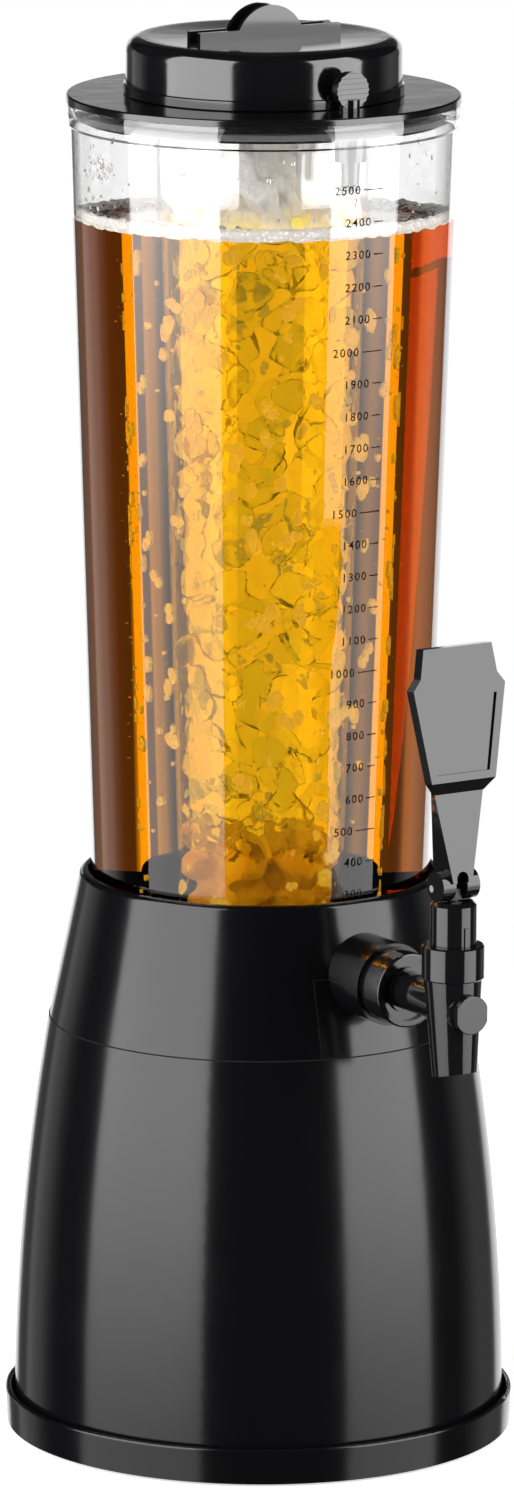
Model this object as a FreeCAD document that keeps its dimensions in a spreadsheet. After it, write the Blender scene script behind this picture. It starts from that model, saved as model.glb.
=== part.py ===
import FreeCAD, Part
import math
import os
import re

import Sketcher
from FreeCAD import Placement, Rotation, Vector

# Beer tower dispenser, in millimetres. +Z is up, the origin is the centre of the face it stands on, and the
# tap points along -Y. Heights of the collar, reservoir and vessel count from the top of the base, heights of
# the tap from the line of its shank, and heights of the lid from the top of the vessel.
SIZES = {
    # Foot tray, its rubber foot ring and screws
    "tray_margin": 2.7,
    "tray_flare": 0.6,
    "tray_wall": 2.1,
    "tray_floor": 4.0,
    "tray_height": 12.7,
    "tray_edge_round": 0.9,
    "foot_ring_margin": 4.0,
    "foot_ring_width": 10.0,
    "foot_height": 2.8,
    "foot_recess": 2.0,
    "foot_gap": 0.15,
    "tray_screw_sink": 2.4,
    # Screws and the posts that take them
    "screw_count": 4,
    "screw_radius": 1.9,
    "screw_head_radius": 3.2,
    "screw_head_height": 2.2,
    "screw_drive_radius": 1.3,
    "screw_drive_depth": 1.2,
    "screw_reach": 7.0,
    "screw_gap": 0.05,
    "post_radius": 5.5,
    "post_height": 16.0,
    "post_bite": 1.0,
    # Base body, a shell that bulges gently
    "base_flare": 12.22,
    "base_top_step": 0.28,
    "base_height": 144.9,
    "base_wall": 2.6,
    "shelf_thickness": 3.2,
    "shelf_opening_radius": 40.0,
    # Inner reservoir
    "cup_margin": 2.6,
    "cup_wall": 3.0,
    "cup_floor": 3.0,
    "cup_height": 46.3,
    "cup_seat_height": 40.3,
    "cup_seat_depth": 3.0,
    "cup_seat_overhang": 1.9,
    "cup_spigot_wall": 2.8,
    "cup_spigot_depth": 2.7,
    "cup_post_inset": 8.4,
    "cup_post_radius": 5.0,
    "cup_post_height": 8.5,
    "loose_gap": 0.2,
    # Collar, its tap stub and the slot cover below the stub
    "collar_foot_margin": 12.6,
    "collar_top_margin": 1.6,
    "collar_height": 52.8,
    "collar_wall": 2.6,
    "collar_edge_round": 2.0,
    "collar_post_radius": 3.6,
    "collar_post_height": 9.0,
    "collar_post_bite": 0.4,
    "stub_radius": 14.6,
    "stub_wall": 2.5,
    "stub_reach": 10.8,
    "slot_half_width": 20.2,
    "slot_gap": 0.15,
    # Clear vessel and its gasket
    "vessel_foot_radius": 59.8,
    "vessel_flare": 8.6,
    "vessel_lip_margin": 0.7,
    "vessel_lip_height": 7.8,
    "vessel_lip_slope": 0.7,
    "vessel_length": 286.3,
    "vessel_wall": 2.0,
    "gasket_thickness": 1.5,
    # Shank and what clamps it
    "tap_line": 27.3,
    "shank_radius": 6.8,
    "shank_bore": 4.8,
    "shank_tail_length": 10.0,
    "pad_radius": 11.5,
    "pad_depth": 5.4,
    "pad_rise": 2.2,
    "shank_gasket_radius": 10.5,
    "back_nut_radius": 10.5,
    "back_nut_thickness": 6.0,
    "sleeve_radius": 8.8,
    "front_nut_radius": 13.2,
    "front_nut_length": 11.2,
    "front_nut_edge": 0.7,
    "front_nut_dish_radius": 10.9,
    "front_nut_dish_hub": 8.2,
    "front_nut_dish_depth": 1.4,
    # Tap body
    "tap_overhang": 38.2,
    "ring_radius": 10.9,
    "ring_low": 10.0,
    "ring_high": 22.0,
    "ring_edge": 0.5,
    "spout_top_radius": 10.1,
    "spout_tip_radius": 7.8,
    "spout_drop": 24.0,
    "spout_lean": 1.5,
    "spout_cut_angle": 13.0,
    "spout_spare": 4.0,
    "chamber_radius": 5.2,
    "seat_drop": 11.0,
    "outlet_radius": 3.6,
    "socket_floor": 0.3,
    "running_gap": 0.05,
    # Bonnet
    "bonnet_radius": 8.1,
    "bonnet_high": 37.5,
    "bonnet_edge": 1.4,
    "bonnet_roof": 3.0,
    "bonnet_spigot_radius": 7.3,
    "bonnet_spigot_length": 9.0,
    "bonnet_rib_width": 1.5,
    "bonnet_rib_height": 7.0,
    "bonnet_rib_rise": 0.6,
    # Plunger, its seals and spring
    "stem_radius": 2.0,
    "waist_radius": 2.0,
    "valve_flange_radius": 4.6,
    "valve_flange_height": 2.2,
    "valve_seal_radius": 4.9,
    "valve_seal_height": 1.8,
    "valve_stub_radius": 1.5,
    "piston_low": 8.0,
    "piston_height": 4.0,
    "piston_groove_height": 1.6,
    "piston_groove_depth": 1.0,
    "spring_wire_radius": 0.45,
    "spring_coil_radius": 3.75,
    "spring_turns": 7,
    # Cam lever: the barrel of the handle rolls on the bonnet about an offset pin
    "barrel_radius": 5.3,
    "barrel_length": 15.0,
    "barrel_gap": 0.2,
    "cam_offset": 2.8,
    "tilt_range": 50.0,
    "handle_lean": 5.8,
    "pin_radius": 1.25,
    "eye_radius": 3.0,
    "eye_thickness": 4.2,
    "eye_gap": 0.25,
    "eye_foot_gap": 0.4,
    "slot_rise": 5.0,
    # Handle
    "neck_face": 6.0,
    "neck_foot_rise": 1.0,
    "neck_foot_width": 7.8,
    "neck_foot_back": 4.0,
    "neck_foot_back_width": 11.2,
    "neck_top_rise": 32.5,
    "neck_top_width": 20.5,
    "neck_top_back_width": 18.6,
    "neck_top_depth": 3.3,
    "paddle_face": 9.7,
    "paddle_thickness": 4.5,
    "paddle_foot_rise": 36.9,
    "paddle_foot_width": 26.3,
    "paddle_wide_rise": 69.4,
    "paddle_width": 37.6,
    "paddle_step_rise": 73.3,
    "paddle_step_width": 31.4,
    "paddle_top_rise": 83.5,
    "paddle_top_width": 28.0,
    "paddle_corner_round": 1.6,
    "panel_depth": 0.9,
    "panel_low": 39.6,
    "panel_high": 66.2,
    "panel_low_width": 21.6,
    "panel_high_width": 30.4,
    # Flow knob on the front of the tap
    "knob_drop": 1.0,
    "knob_boss_radius": 7.0,
    "knob_boss_reach": 9.9,
    "knob_boss_edge": 1.2,
    "knob_stem_radius": 2.4,
    "knob_neck_radius": 4.6,
    "knob_neck_length": 0.35,
    "knob_disc_radius": 6.8,
    "knob_disc_thickness": 1.95,
    "knob_disc_edge": 0.35,
    "knob_flat_spacing": 12.3,
    "knob_finger_radius": 0.8,
    "knob_finger_offset": 1.5,
    "knob_finger_length": 1.3,
    "knob_groove_start": 7.2,
    "knob_groove_length": 1.2,
    "knob_groove_depth": 0.5,
    # Lid flange and its seal
    "lid_overhang": 0.3,
    "lid_plate": 2.4,
    "lid_skirt_gap": 1.8,
    "lid_skirt_wall": 2.1,
    "lid_skirt_depth": 6.3,
    "lid_seal_gap": 0.3,
    "lid_seal_width": 2.2,
    "lid_seal_height": 2.0,
    "lid_seal_drop": 3.3,
    "neck_margin": 4.9,
    "neck_wall": 2.4,
    "neck_height": 15.8,
    # Vent plug in its socket
    "vent_inset": 7.0,
    "vent_stem_radius": 3.35,
    "vent_socket_radius": 5.65,
    "vent_socket_depth": 14.1,
    "vent_gap": 0.25,
    "vent_head_radius": 6.4,
    "vent_head_thickness": 3.2,
    "vent_head_rise": 7.6,
    "vent_rib_count": 7,
    "vent_rib_width": 0.9,
    "vent_rib_rise": 0.45,
    "vent_tip_radius": 2.9,
    "vent_tip_length": 10.2,
    "vent_ring_drop": 7.0,
    "vent_ring_height": 1.4,
    "vent_ring_depth": 0.5,
    # Ice tube and its gasket
    "tube_flare": 7.7,
    "drink_room": 28.9,
    "tube_wall": 1.8,
    "tube_floor": 2.0,
    "tube_length": 315.2,
    "tube_flange_margin": 2.1,
    "tube_flange_height": 1.8,
    "tube_gasket_thickness": 0.8,
    "tube_hole_gap": 0.9,
    # Cap with its double grip
    "cap_margin": 5.0,
    "cap_bead_rise": 0.7,
    "cap_bead_height": 3.0,
    "cap_height": 20.1,
    "cap_foot_gap": 0.4,
    "cap_wall": 2.2,
    "cap_round": 5.0,
    "cap_dish": 0.8,
    "cap_roof": 2.5,
    "cap_sleeve_wall": 1.8,
    "cap_sleeve_length": 13.5,
    "cap_seal_thickness": 1.5,
    "cap_neck_gap": 0.3,
    "grip_length": 58.0,
    "grip_thickness": 2.0,
    "grip_spacing": 6.6,
    "grip_rise": 3.1,
    "grip_arch_radius": 14.3,
    "grip_arch_rise": 11.2,
    "grip_root": 1.4,
}

# Sizes that follow others, so that a change to one carries its neighbours with it
FOLLOWS = {
    "cup_radius": "vessel_foot_radius + cup_margin",
    "cup_post_circle": "cup_radius - cup_wall - cup_post_inset",
    "collar_foot_radius": "cup_radius + collar_foot_margin",
    "collar_top_radius": "cup_radius + collar_top_margin",
    "base_top_radius": "collar_foot_radius + base_top_step",
    "base_radius": "base_top_radius + base_flare",
    "base_sweep_radius": "(base_height^2 + base_flare^2) / (2 * base_flare)",
    "tray_radius": "base_radius + tray_margin",
    "tray_screw_circle": "base_radius - base_wall - post_radius + post_bite",
    "foot_ring_radius": "tray_screw_circle - screw_head_radius - loose_gap - foot_ring_margin",
    "pad_outer_face": "cup_radius + pad_rise",
    "pad_inner_face": "cup_radius - pad_depth",
    "shank_tail": "pad_inner_face - shank_tail_length",
    "stub_face": "collar_foot_radius + stub_reach",
    "tap_reach": "stub_face + tap_overhang",
    "vessel_lip_foot_radius": "vessel_foot_radius + vessel_flare",
    "vessel_lip_radius": "vessel_lip_foot_radius + vessel_lip_margin",
    "lid_radius": "vessel_lip_radius + lid_overhang",
    "lid_skirt_radius": "vessel_lip_foot_radius - vessel_wall - lid_skirt_gap",
    "lid_seal_radius": "vessel_lip_foot_radius - vessel_wall - lid_seal_gap",
    "vent_circle": "lid_skirt_radius - lid_skirt_wall - vent_inset",
    "tube_foot_radius": "vessel_foot_radius - drink_room",
    "tube_top_radius": "tube_foot_radius + tube_flare",
    "neck_radius": "tube_top_radius + neck_margin",
    "tube_flange_radius": "tube_top_radius + tube_flange_margin",
    "cap_radius": "neck_radius + cap_margin",
}

# Heights that several pieces share
TRAY_BOTTOM = "(foot_height - foot_recess)"
BASE_BOTTOM = f"({TRAY_BOTTOM} + tray_floor)"
BASE_TOP = f"({BASE_BOTTOM} + base_height)"
SHELF_UNDERSIDE = f"({BASE_TOP} - shelf_thickness)"
TAP_HEIGHT = f"({BASE_TOP} + tap_line)"
VESSEL_FOOT = f"({BASE_TOP} + cup_seat_height + gasket_thickness)"
VESSEL_TOP = f"({VESSEL_FOOT} + vessel_length)"
LID_TOP = f"({VESSEL_TOP} + lid_plate)"
NECK_TOP = f"({LID_TOP} + neck_height)"
TUBE_TOP = f"({LID_TOP} + tube_gasket_thickness + tube_flange_height)"
CAP_FOOT = f"({LID_TOP} + cap_foot_gap)"
CAP_TOP = f"({LID_TOP} + cap_height)"

# Radii that one piece takes from another
TUBE_HOLE = "(tube_top_radius + tube_hole_gap)"
SHANK_HOLE = "(shank_radius + running_gap)"
SHANK_END = "(tap_reach - chamber_radius - socket_floor)"
VESSEL_SOCKET = "(vessel_foot_radius + loose_gap + 0.25)"
COLLAR_POST_CIRCLE = "(collar_foot_radius - collar_wall - collar_post_radius + collar_post_bite)"
TRAY_SCREW_CIRCLE = "(tray_screw_circle)"

# The pin stands beside and below the barrel's centre, so that half the tilt lifts it to the same distance above
HALF_TILT = "(tilt_range / 2)"
BARREL_RISE = "(bonnet_high + barrel_gap + barrel_radius)"
PIN_BACK = f"(cam_offset * cos({HALF_TILT}))"
PIN_RISE = f"({BARREL_RISE} - cam_offset * sin({HALF_TILT}))"

doc = FreeCAD.newDocument("BeerTower")
sheet = doc.addObject("Spreadsheet::Sheet", "Sizes")
for row, (size_name, size) in enumerate(SIZES.items(), start=1):
    sheet.set(f"A{row}", size_name)
    sheet.set(f"B{row}", str(size))
    sheet.setAlias(f"B{row}", size_name)
doc.recompute()

UPRIGHT = Rotation()
TO_THE_FRONT = Rotation(Vector(1, 0, 0), 90)
TO_THE_RIGHT = Rotation(Vector(0, 1, 0), 90)
FIRST_POST_ANGLE = 45

nodes = []


SIZE_NAME = r"[a-z][a-z_]+"


def spelled_out(formula):
    """The same formula with every size that follows others written out in full."""
    longer = re.sub(SIZE_NAME, lambda word: f"({FOLLOWS[word[0]]})" if word[0] in FOLLOWS else word[0], formula)
    return formula if longer == formula else spelled_out(longer)


def bound(formula):
    """The same formula with every size name pointing into the sheet."""
    return re.sub(SIZE_NAME, lambda word: f"Sizes.{word[0]}" if word[0] in SIZES else word[0], spelled_out(formula))


def number(formula):
    """What a formula over the sheet's sizes comes to."""
    return float(sheet.evalExpression(spelled_out(formula)))


def bind(thing, field, formula):
    """Tie one property of an object to a formula."""
    thing.setExpression(field, bound(formula))


def place(thing, x="0", y="0", z="0", turn=UPRIGHT):
    """Turn an object and tie its position to formulas."""
    thing.Placement = Placement(Vector(number(x), number(y), number(z)), turn)
    for field, formula in (("x", x), ("y", y), ("z", z)):
        bind(thing, f"Placement.Base.{field}", formula)
    return thing


def keep(thing, label):
    """Give a finished sub-part its own name, which is also the name of its file."""
    thing.Label = label
    nodes.append(thing)
    return thing


def new_body(name):
    return doc.addObject("PartDesign::Body", name)


def origin_feature(body, role):
    return next(feature for feature in body.Origin.OriginFeatures if feature.Role == role)


def sketch_on(body, plane, corners, arcs=None, offset="0"):
    """A closed outline on one of the body's own planes.

    corners are (across, up) formulas. arcs gives, for the side that starts at a corner, the radius formula
    and the (across, up) formulas of the arc's centre.
    """
    arcs = arcs or {}
    sketch = body.newObject("Sketcher::SketchObject", f"{body.Name}Outline")
    sketch.AttachmentSupport = [(origin_feature(body, plane), "")]
    sketch.MapMode = "FlatFace"
    bind(sketch, "AttachmentOffset.Base.z", offset)
    spots = [Vector(number(across), number(up), 0) for across, up in corners]
    first_end = []
    for side, start in enumerate(spots):
        finish = spots[(side + 1) % len(spots)]
        if side not in arcs:
            sketch.addGeometry(Part.LineSegment(start, finish), False)
            first_end.append((1, 2))
            continue
        radius, (centre_across, centre_up) = arcs[side]
        centre = Vector(number(centre_across), number(centre_up), 0)
        circle = Part.Circle(centre, Vector(0, 0, 1), number(radius))
        forward = (start - centre).cross(finish - centre).z > 0
        low, high = (start, finish) if forward else (finish, start)
        low_angle = circle.parameter(low)
        sweep = (circle.parameter(high) - low_angle) % (2 * math.pi)
        sketch.addGeometry(Part.ArcOfCircle(circle, low_angle, low_angle + sweep), False)
        first_end.append((1, 2) if forward else (2, 1))
    for side in range(len(spots)):
        following = (side + 1) % len(spots)
        sketch.addConstraint(
            Sketcher.Constraint("Coincident", side, first_end[side][1], following, first_end[following][0]))
    for side, (across, up) in enumerate(corners):
        for kind, formula in (("DistanceX", across), ("DistanceY", up)):
            index = sketch.addConstraint(
                Sketcher.Constraint(kind, -1, 1, side, first_end[side][0], number(formula)))
            bind(sketch, f"Constraints[{index}]", formula)
    for side, (radius, _) in arcs.items():
        index = sketch.addConstraint(Sketcher.Constraint("Radius", side, number(radius)))
        bind(sketch, f"Constraints[{index}]", radius)
    return sketch


def turned(name, corners, arcs=None):
    """A body turned about its own upright axis; corners are (radius, height)."""
    body = new_body(name)
    sketch = sketch_on(body, "XZ_Plane", corners, arcs)
    feature = body.newObject("PartDesign::Revolution", f"{name}Turned")
    feature.Profile = sketch
    feature.ReferenceAxis = (sketch, ["V_Axis"])
    feature.Angle = 360
    return body


def turned_away(body, corners, arcs=None):
    """Cut a turned outline out of a body."""
    sketch = sketch_on(body, "XZ_Plane", corners, arcs)
    feature = body.newObject("PartDesign::Groove", f"{body.Name}Groove")
    feature.Profile = sketch
    feature.ReferenceAxis = (sketch, ["V_Axis"])
    feature.Angle = 360
    return feature


def padded_out(body, plane, corners, thickness, offset="0", arcs=None):
    """Pad an outline from a plane that stands off the body's own plane."""
    feature = body.newObject("PartDesign::Pad", f"{body.Name}Pad")
    feature.Profile = sketch_on(body, plane, corners, arcs, offset)
    bind(feature, "Length", thickness)
    return feature


def round_feature(body, kind, radius, height, x="0", y="0", z="0", turn=UPRIGHT):
    """Add or cut a plain cylinder; kind is Additive or Subtractive."""
    feature = body.newObject(f"PartDesign::{kind}Cylinder", f"{body.Name}Round")
    bind(feature, "Radius", radius)
    bind(feature, "Height", height)
    return place(feature, x, y, z, turn)


def block_feature(body, kind, length, width, height, x="0", y="0", z="0", turn=UPRIGHT):
    """Add or cut a plain block whose own lowest corner is at x, y, z."""
    feature = body.newObject(f"PartDesign::{kind}Box", f"{body.Name}Block")
    bind(feature, "Length", length)
    bind(feature, "Width", width)
    bind(feature, "Height", height)
    return place(feature, x, y, z, turn)


def ring_of(body, features, count):
    """Repeat features evenly around the body's upright axis."""
    pattern = body.newObject("PartDesign::PolarPattern", f"{body.Name}Ring")
    pattern.Originals = features
    pattern.Axis = (origin_feature(body, "Z_Axis"), [""])
    pattern.Angle = 360
    bind(pattern, "Occurrences", count)
    body.Tip = pattern
    return pattern


def soften(body, kind, field, size, rings):
    """Round or chamfer the circular edges that lie at the given (radius, height) pairs."""
    doc.recompute()
    base = body.Tip
    wanted = [(number(radius), number(height)) for radius, height in rings]
    names = []
    for index, edge in enumerate(base.Shape.Edges, start=1):
        if not isinstance(edge.Curve, Part.Circle):
            continue
        spot = (edge.Curve.Radius, edge.Curve.Center.z)
        if any(abs(spot[0] - radius) < 0.01 and abs(spot[1] - height) < 0.01 for radius, height in wanted):
            names.append(f"Edge{index}")
    feature = body.newObject(f"PartDesign::{kind}", f"{body.Name}{kind}")
    feature.Base = (base, names)
    bind(feature, field, size)
    return feature


def cylinder(name, radius, height, x="0", y="0", z="0", turn=UPRIGHT):
    """A cylinder for the joins and cuts below."""
    solid = doc.addObject("Part::Cylinder", name)
    bind(solid, "Radius", radius)
    bind(solid, "Height", height)
    return place(solid, x, y, z, turn)


def block(name, length, width, height, x="0", y="0", z="0"):
    solid = doc.addObject("Part::Box", name)
    bind(solid, "Length", length)
    bind(solid, "Width", width)
    bind(solid, "Height", height)
    return place(solid, x, y, z)


def joined(name, solids):
    whole = doc.addObject("Part::MultiFuse", name)
    whole.Shapes = solids
    whole.Refine = True
    return whole


def carved(name, base, tools):
    rest = doc.addObject("Part::Cut", name)
    rest.Base = base
    rest.Tool = tools[0] if len(tools) == 1 else joined(f"{name}Tools", tools)
    rest.Refine = True
    return rest


def screws(label, circle, head_bottom, reach):
    """A ring of pan-head screws that point up, each a solid of its own."""
    body = new_body(label.title().replace("_", ""))
    body.AllowCompound = True
    head = round_feature(body, "Additive", "screw_head_radius", "screw_head_height", circle, "0", head_bottom)
    shank = round_feature(body, "Additive", "screw_radius", reach, circle, "0",
                          f"{head_bottom} + screw_head_height")
    drive = round_feature(body, "Subtractive", "screw_drive_radius", "screw_drive_depth", circle, "0", head_bottom)
    ring_of(body, [head, shank, drive], "screw_count")
    body.Placement = Placement(Vector(), Rotation(Vector(0, 0, 1), FIRST_POST_ANGLE))
    return keep(body, label)


def turned_by_post_angle(body):
    """Turn a body so that its posts stand between the front and the sides."""
    body.Placement = Placement(Vector(), Rotation(Vector(0, 0, 1), FIRST_POST_ANGLE))
    return body


# Foot tray: a shallow dish with a raised rim round the base
tray = turned("BaseTray", [
    ("0", TRAY_BOTTOM),
    ("tray_radius", TRAY_BOTTOM),
    ("tray_radius + tray_flare", f"{TRAY_BOTTOM} + tray_height"),
    ("tray_radius + tray_flare - tray_wall", f"{TRAY_BOTTOM} + tray_height"),
    ("tray_radius + tray_flare - tray_wall", BASE_BOTTOM),
    ("0", BASE_BOTTOM),
])
soften(tray, "Fillet", "Radius", "tray_edge_round", [
    ("tray_radius + tray_flare", f"{TRAY_BOTTOM} + tray_height"),
    ("tray_radius + tray_flare - tray_wall", f"{TRAY_BOTTOM} + tray_height"),
])
turned_away(tray, [
    ("foot_ring_radius - foot_ring_width - foot_gap", TRAY_BOTTOM),
    ("foot_ring_radius + foot_gap", TRAY_BOTTOM),
    ("foot_ring_radius + foot_gap", "foot_height"),
    ("foot_ring_radius - foot_ring_width - foot_gap", "foot_height"),
])
tray_holes = [
    round_feature(tray, "Subtractive", "screw_head_radius + loose_gap", "tray_screw_sink",
                  TRAY_SCREW_CIRCLE, "0", TRAY_BOTTOM),
    round_feature(tray, "Subtractive", "screw_radius + screw_gap", "tray_floor", TRAY_SCREW_CIRCLE, "0", TRAY_BOTTOM),
]
ring_of(tray, tray_holes, "screw_count")
keep(turned_by_post_angle(tray), "base_tray")

foot_ring = turned("FootRing", [
    ("foot_ring_radius - foot_ring_width", "0"),
    ("foot_ring_radius", "0"),
    ("foot_ring_radius", "foot_height"),
    ("foot_ring_radius - foot_ring_width", "foot_height"),
])
keep(foot_ring, "foot_ring")

screws("tray_screws", TRAY_SCREW_CIRCLE, f"{TRAY_BOTTOM} + tray_screw_sink - screw_head_height",
       f"tray_floor - tray_screw_sink + screw_reach")


# Base body: a tall shell that curves in towards its top and closes with a shelf
def base_wall_radius(inset, height):
    """The base's radius at a height, a little inside its outer face."""
    return (f"(base_radius - base_sweep_radius + sqrt((base_sweep_radius - {inset})^2"
            f" - ({height} - {BASE_BOTTOM})^2))")


SWEEP_CENTRE = ("base_radius - base_sweep_radius", BASE_BOTTOM)
base = turned("BaseBody", [
    ("base_radius - base_wall", BASE_BOTTOM),
    ("base_radius", BASE_BOTTOM),
    (base_wall_radius("0", BASE_TOP), BASE_TOP),
    ("shelf_opening_radius", BASE_TOP),
    ("shelf_opening_radius", SHELF_UNDERSIDE),
    (base_wall_radius("base_wall", SHELF_UNDERSIDE), SHELF_UNDERSIDE),
], {1: ("base_sweep_radius", SWEEP_CENTRE), 5: ("base_sweep_radius - base_wall", SWEEP_CENTRE)})
base_post = round_feature(base, "Additive", "post_radius", "post_height", TRAY_SCREW_CIRCLE, "0", BASE_BOTTOM)
base_bore = round_feature(base, "Subtractive", "screw_radius + screw_gap", "screw_reach + 1",
                          TRAY_SCREW_CIRCLE, "0", BASE_BOTTOM)
shelf_holes = [
    round_feature(base, "Subtractive", "screw_radius + screw_gap", "shelf_thickness", circle, "0", SHELF_UNDERSIDE)
    for circle in ("cup_post_circle", COLLAR_POST_CIRCLE)
]
ring_of(base, [base_post, base_bore] + shelf_holes, "screw_count")
keep(turned_by_post_angle(base), "base_body")

for screws_label, screws_circle in (("tank_screws", "cup_post_circle"), ("collar_screws", COLLAR_POST_CIRCLE)):
    screws(screws_label, screws_circle, f"{SHELF_UNDERSIDE} - screw_head_height", "shelf_thickness + screw_reach")

# Inner reservoir: a cup with a seat for the vessel and a thick pad where the shank goes through
CUP_BORE = "(cup_radius - cup_wall)"
CUP_SEAT_RADIUS = "(vessel_foot_radius - cup_seat_overhang)"
cup_form = turned("TankCupForm", [
    ("0", BASE_TOP),
    (f"shelf_opening_radius - loose_gap - cup_spigot_wall", BASE_TOP),
    (f"shelf_opening_radius - loose_gap - cup_spigot_wall", f"{BASE_TOP} - cup_spigot_depth"),
    (f"shelf_opening_radius - loose_gap", f"{BASE_TOP} - cup_spigot_depth"),
    (f"shelf_opening_radius - loose_gap", BASE_TOP),
    ("cup_radius", BASE_TOP),
    ("cup_radius", f"{BASE_TOP} + cup_height"),
    (VESSEL_SOCKET, f"{BASE_TOP} + cup_height"),
    (VESSEL_SOCKET, f"{BASE_TOP} + cup_seat_height"),
    (CUP_SEAT_RADIUS, f"{BASE_TOP} + cup_seat_height"),
    (CUP_SEAT_RADIUS, f"{BASE_TOP} + cup_seat_height - cup_seat_depth"),
    (CUP_BORE, f"{BASE_TOP} + cup_seat_height - cup_seat_depth - cup_radius + cup_wall + {CUP_SEAT_RADIUS}"),
    (CUP_BORE, f"{BASE_TOP} + cup_floor"),
    ("0", f"{BASE_TOP} + cup_floor"),
])
cup_post = round_feature(cup_form, "Additive", "cup_post_radius", "cup_post_height", "cup_post_circle", "0",
                         f"{BASE_TOP} + cup_floor")
cup_bore = round_feature(cup_form, "Subtractive", "screw_radius + screw_gap", "screw_reach + 1",
                         "cup_post_circle", "0", BASE_TOP)
ring_of(cup_form, [cup_post, cup_bore], "screw_count")
turned_by_post_angle(cup_form)
cup_pad = cylinder("TankCupPad", "pad_radius", "pad_outer_face - pad_inner_face", "0", "-pad_inner_face",
                   TAP_HEIGHT, TO_THE_FRONT)
cup_hole = cylinder("TankCupHole", SHANK_HOLE, "pad_outer_face", "0", "-shank_tail", TAP_HEIGHT, TO_THE_FRONT)
keep(carved("TankCup", joined("TankCupWhole", [cup_form, cup_pad]), [cup_hole]), "tank_cup")


# Collar and slot cover: one conical shell with a stub, cut along the sides of the slot below the stub
def collar_cone(inset, rise):
    """The collar's radius at a rise above the base."""
    return (f"(collar_foot_radius - {inset} - (collar_foot_radius - collar_top_radius) * ({rise})"
            f" / collar_height)")


shoulder = turned("ShoulderForm", [
    ("0", BASE_TOP),
    ("collar_foot_radius", BASE_TOP),
    ("collar_top_radius", f"{BASE_TOP} + collar_height"),
    ("0", f"{BASE_TOP} + collar_height"),
])
round_feature(shoulder, "Additive", "stub_radius", "stub_face", "0", "0", TAP_HEIGHT, TO_THE_FRONT)
turned_away(shoulder, [
    ("0", BASE_TOP),
    (collar_cone("collar_wall", "0"), BASE_TOP),
    (collar_cone("collar_wall", "collar_height"), f"{BASE_TOP} + collar_height"),
    ("0", f"{BASE_TOP} + collar_height"),
])
round_feature(shoulder, "Subtractive", "stub_radius - stub_wall", "stub_face - stub_wall", "0", "0",
              TAP_HEIGHT, TO_THE_FRONT)
round_feature(shoulder, "Subtractive", "shank_radius + loose_gap", "stub_face + 1", "0", "0",
              TAP_HEIGHT, TO_THE_FRONT)
soften(shoulder, "Fillet", "Radius", "collar_edge_round", [("collar_top_radius", f"{BASE_TOP} + collar_height")])

collar_posts = new_body("CollarPosts")
collar_posts.AllowCompound = True
collar_post = round_feature(collar_posts, "Additive", "collar_post_radius", "collar_post_height",
                            COLLAR_POST_CIRCLE, "0", BASE_TOP)
collar_bore = round_feature(collar_posts, "Subtractive", "screw_radius + screw_gap", "screw_reach + 0.5",
                            COLLAR_POST_CIRCLE, "0", BASE_TOP)
ring_of(collar_posts, [collar_post, collar_bore], "screw_count")
turned_by_post_angle(collar_posts)

slot = block("Slot", "2 * (slot_half_width + slot_gap)", "stub_face + 1", f"tap_line + slot_gap",
             "-slot_half_width - slot_gap", "-stub_face - 1", BASE_TOP)
slot_filling = block("SlotFilling", "2 * slot_half_width", "stub_face + 1", "tap_line",
                     "-slot_half_width", "-stub_face - 1", BASE_TOP)
keep(joined("Collar", [carved("CollarShell", shoulder, [slot]), collar_posts]), "collar")
slot_cover = doc.addObject("Part::Common", "SlotCover")
slot_cover.Base = shoulder
slot_cover.Tool = slot_filling
slot_cover.Refine = True
keep(slot_cover, "slot_cover")

# Clear vessel: a long tapered tube with a lip, standing on a flat gasket in the cup
VESSEL_LIP_FOOT = f"({VESSEL_TOP} - vessel_lip_height)"
vessel = turned("Vessel", [
    ("vessel_foot_radius - vessel_wall", VESSEL_FOOT),
    ("vessel_foot_radius", VESSEL_FOOT),
    ("vessel_lip_foot_radius", f"{VESSEL_LIP_FOOT} - vessel_lip_slope"),
    ("vessel_lip_radius", VESSEL_LIP_FOOT),
    ("vessel_lip_radius", VESSEL_TOP),
    ("vessel_lip_foot_radius - vessel_wall", VESSEL_TOP),
    ("vessel_lip_foot_radius - vessel_wall", VESSEL_LIP_FOOT),
])
keep(vessel, "vessel")

vessel_seal = turned("VesselSeal", [
    (CUP_SEAT_RADIUS, f"{BASE_TOP} + cup_seat_height"),
    (f"{VESSEL_SOCKET} - loose_gap", f"{BASE_TOP} + cup_seat_height"),
    (f"{VESSEL_SOCKET} - loose_gap", VESSEL_FOOT),
    (CUP_SEAT_RADIUS, VESSEL_FOOT),
])
keep(vessel_seal, "vessel_seal")


# Pieces on the shank's line: turned about a local axis that then points to the front
def on_shank_line(body, label):
    return keep(place(body, "0", "0", TAP_HEIGHT, TO_THE_FRONT), label)


def tube_outline(inner, outer, start, finish):
    return [(inner, start), (outer, start), (outer, finish), (inner, finish)]


shank = turned("TapShank", tube_outline("shank_bore", "shank_radius", "shank_tail", SHANK_END))
on_shank_line(shank, "tap_shank")

GASKET_BACK = "(pad_inner_face - gasket_thickness)"
shank_gasket = turned("ShankGasket", tube_outline(SHANK_HOLE, "shank_gasket_radius", GASKET_BACK, "pad_inner_face"))
on_shank_line(shank_gasket, "shank_gasket")

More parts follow.
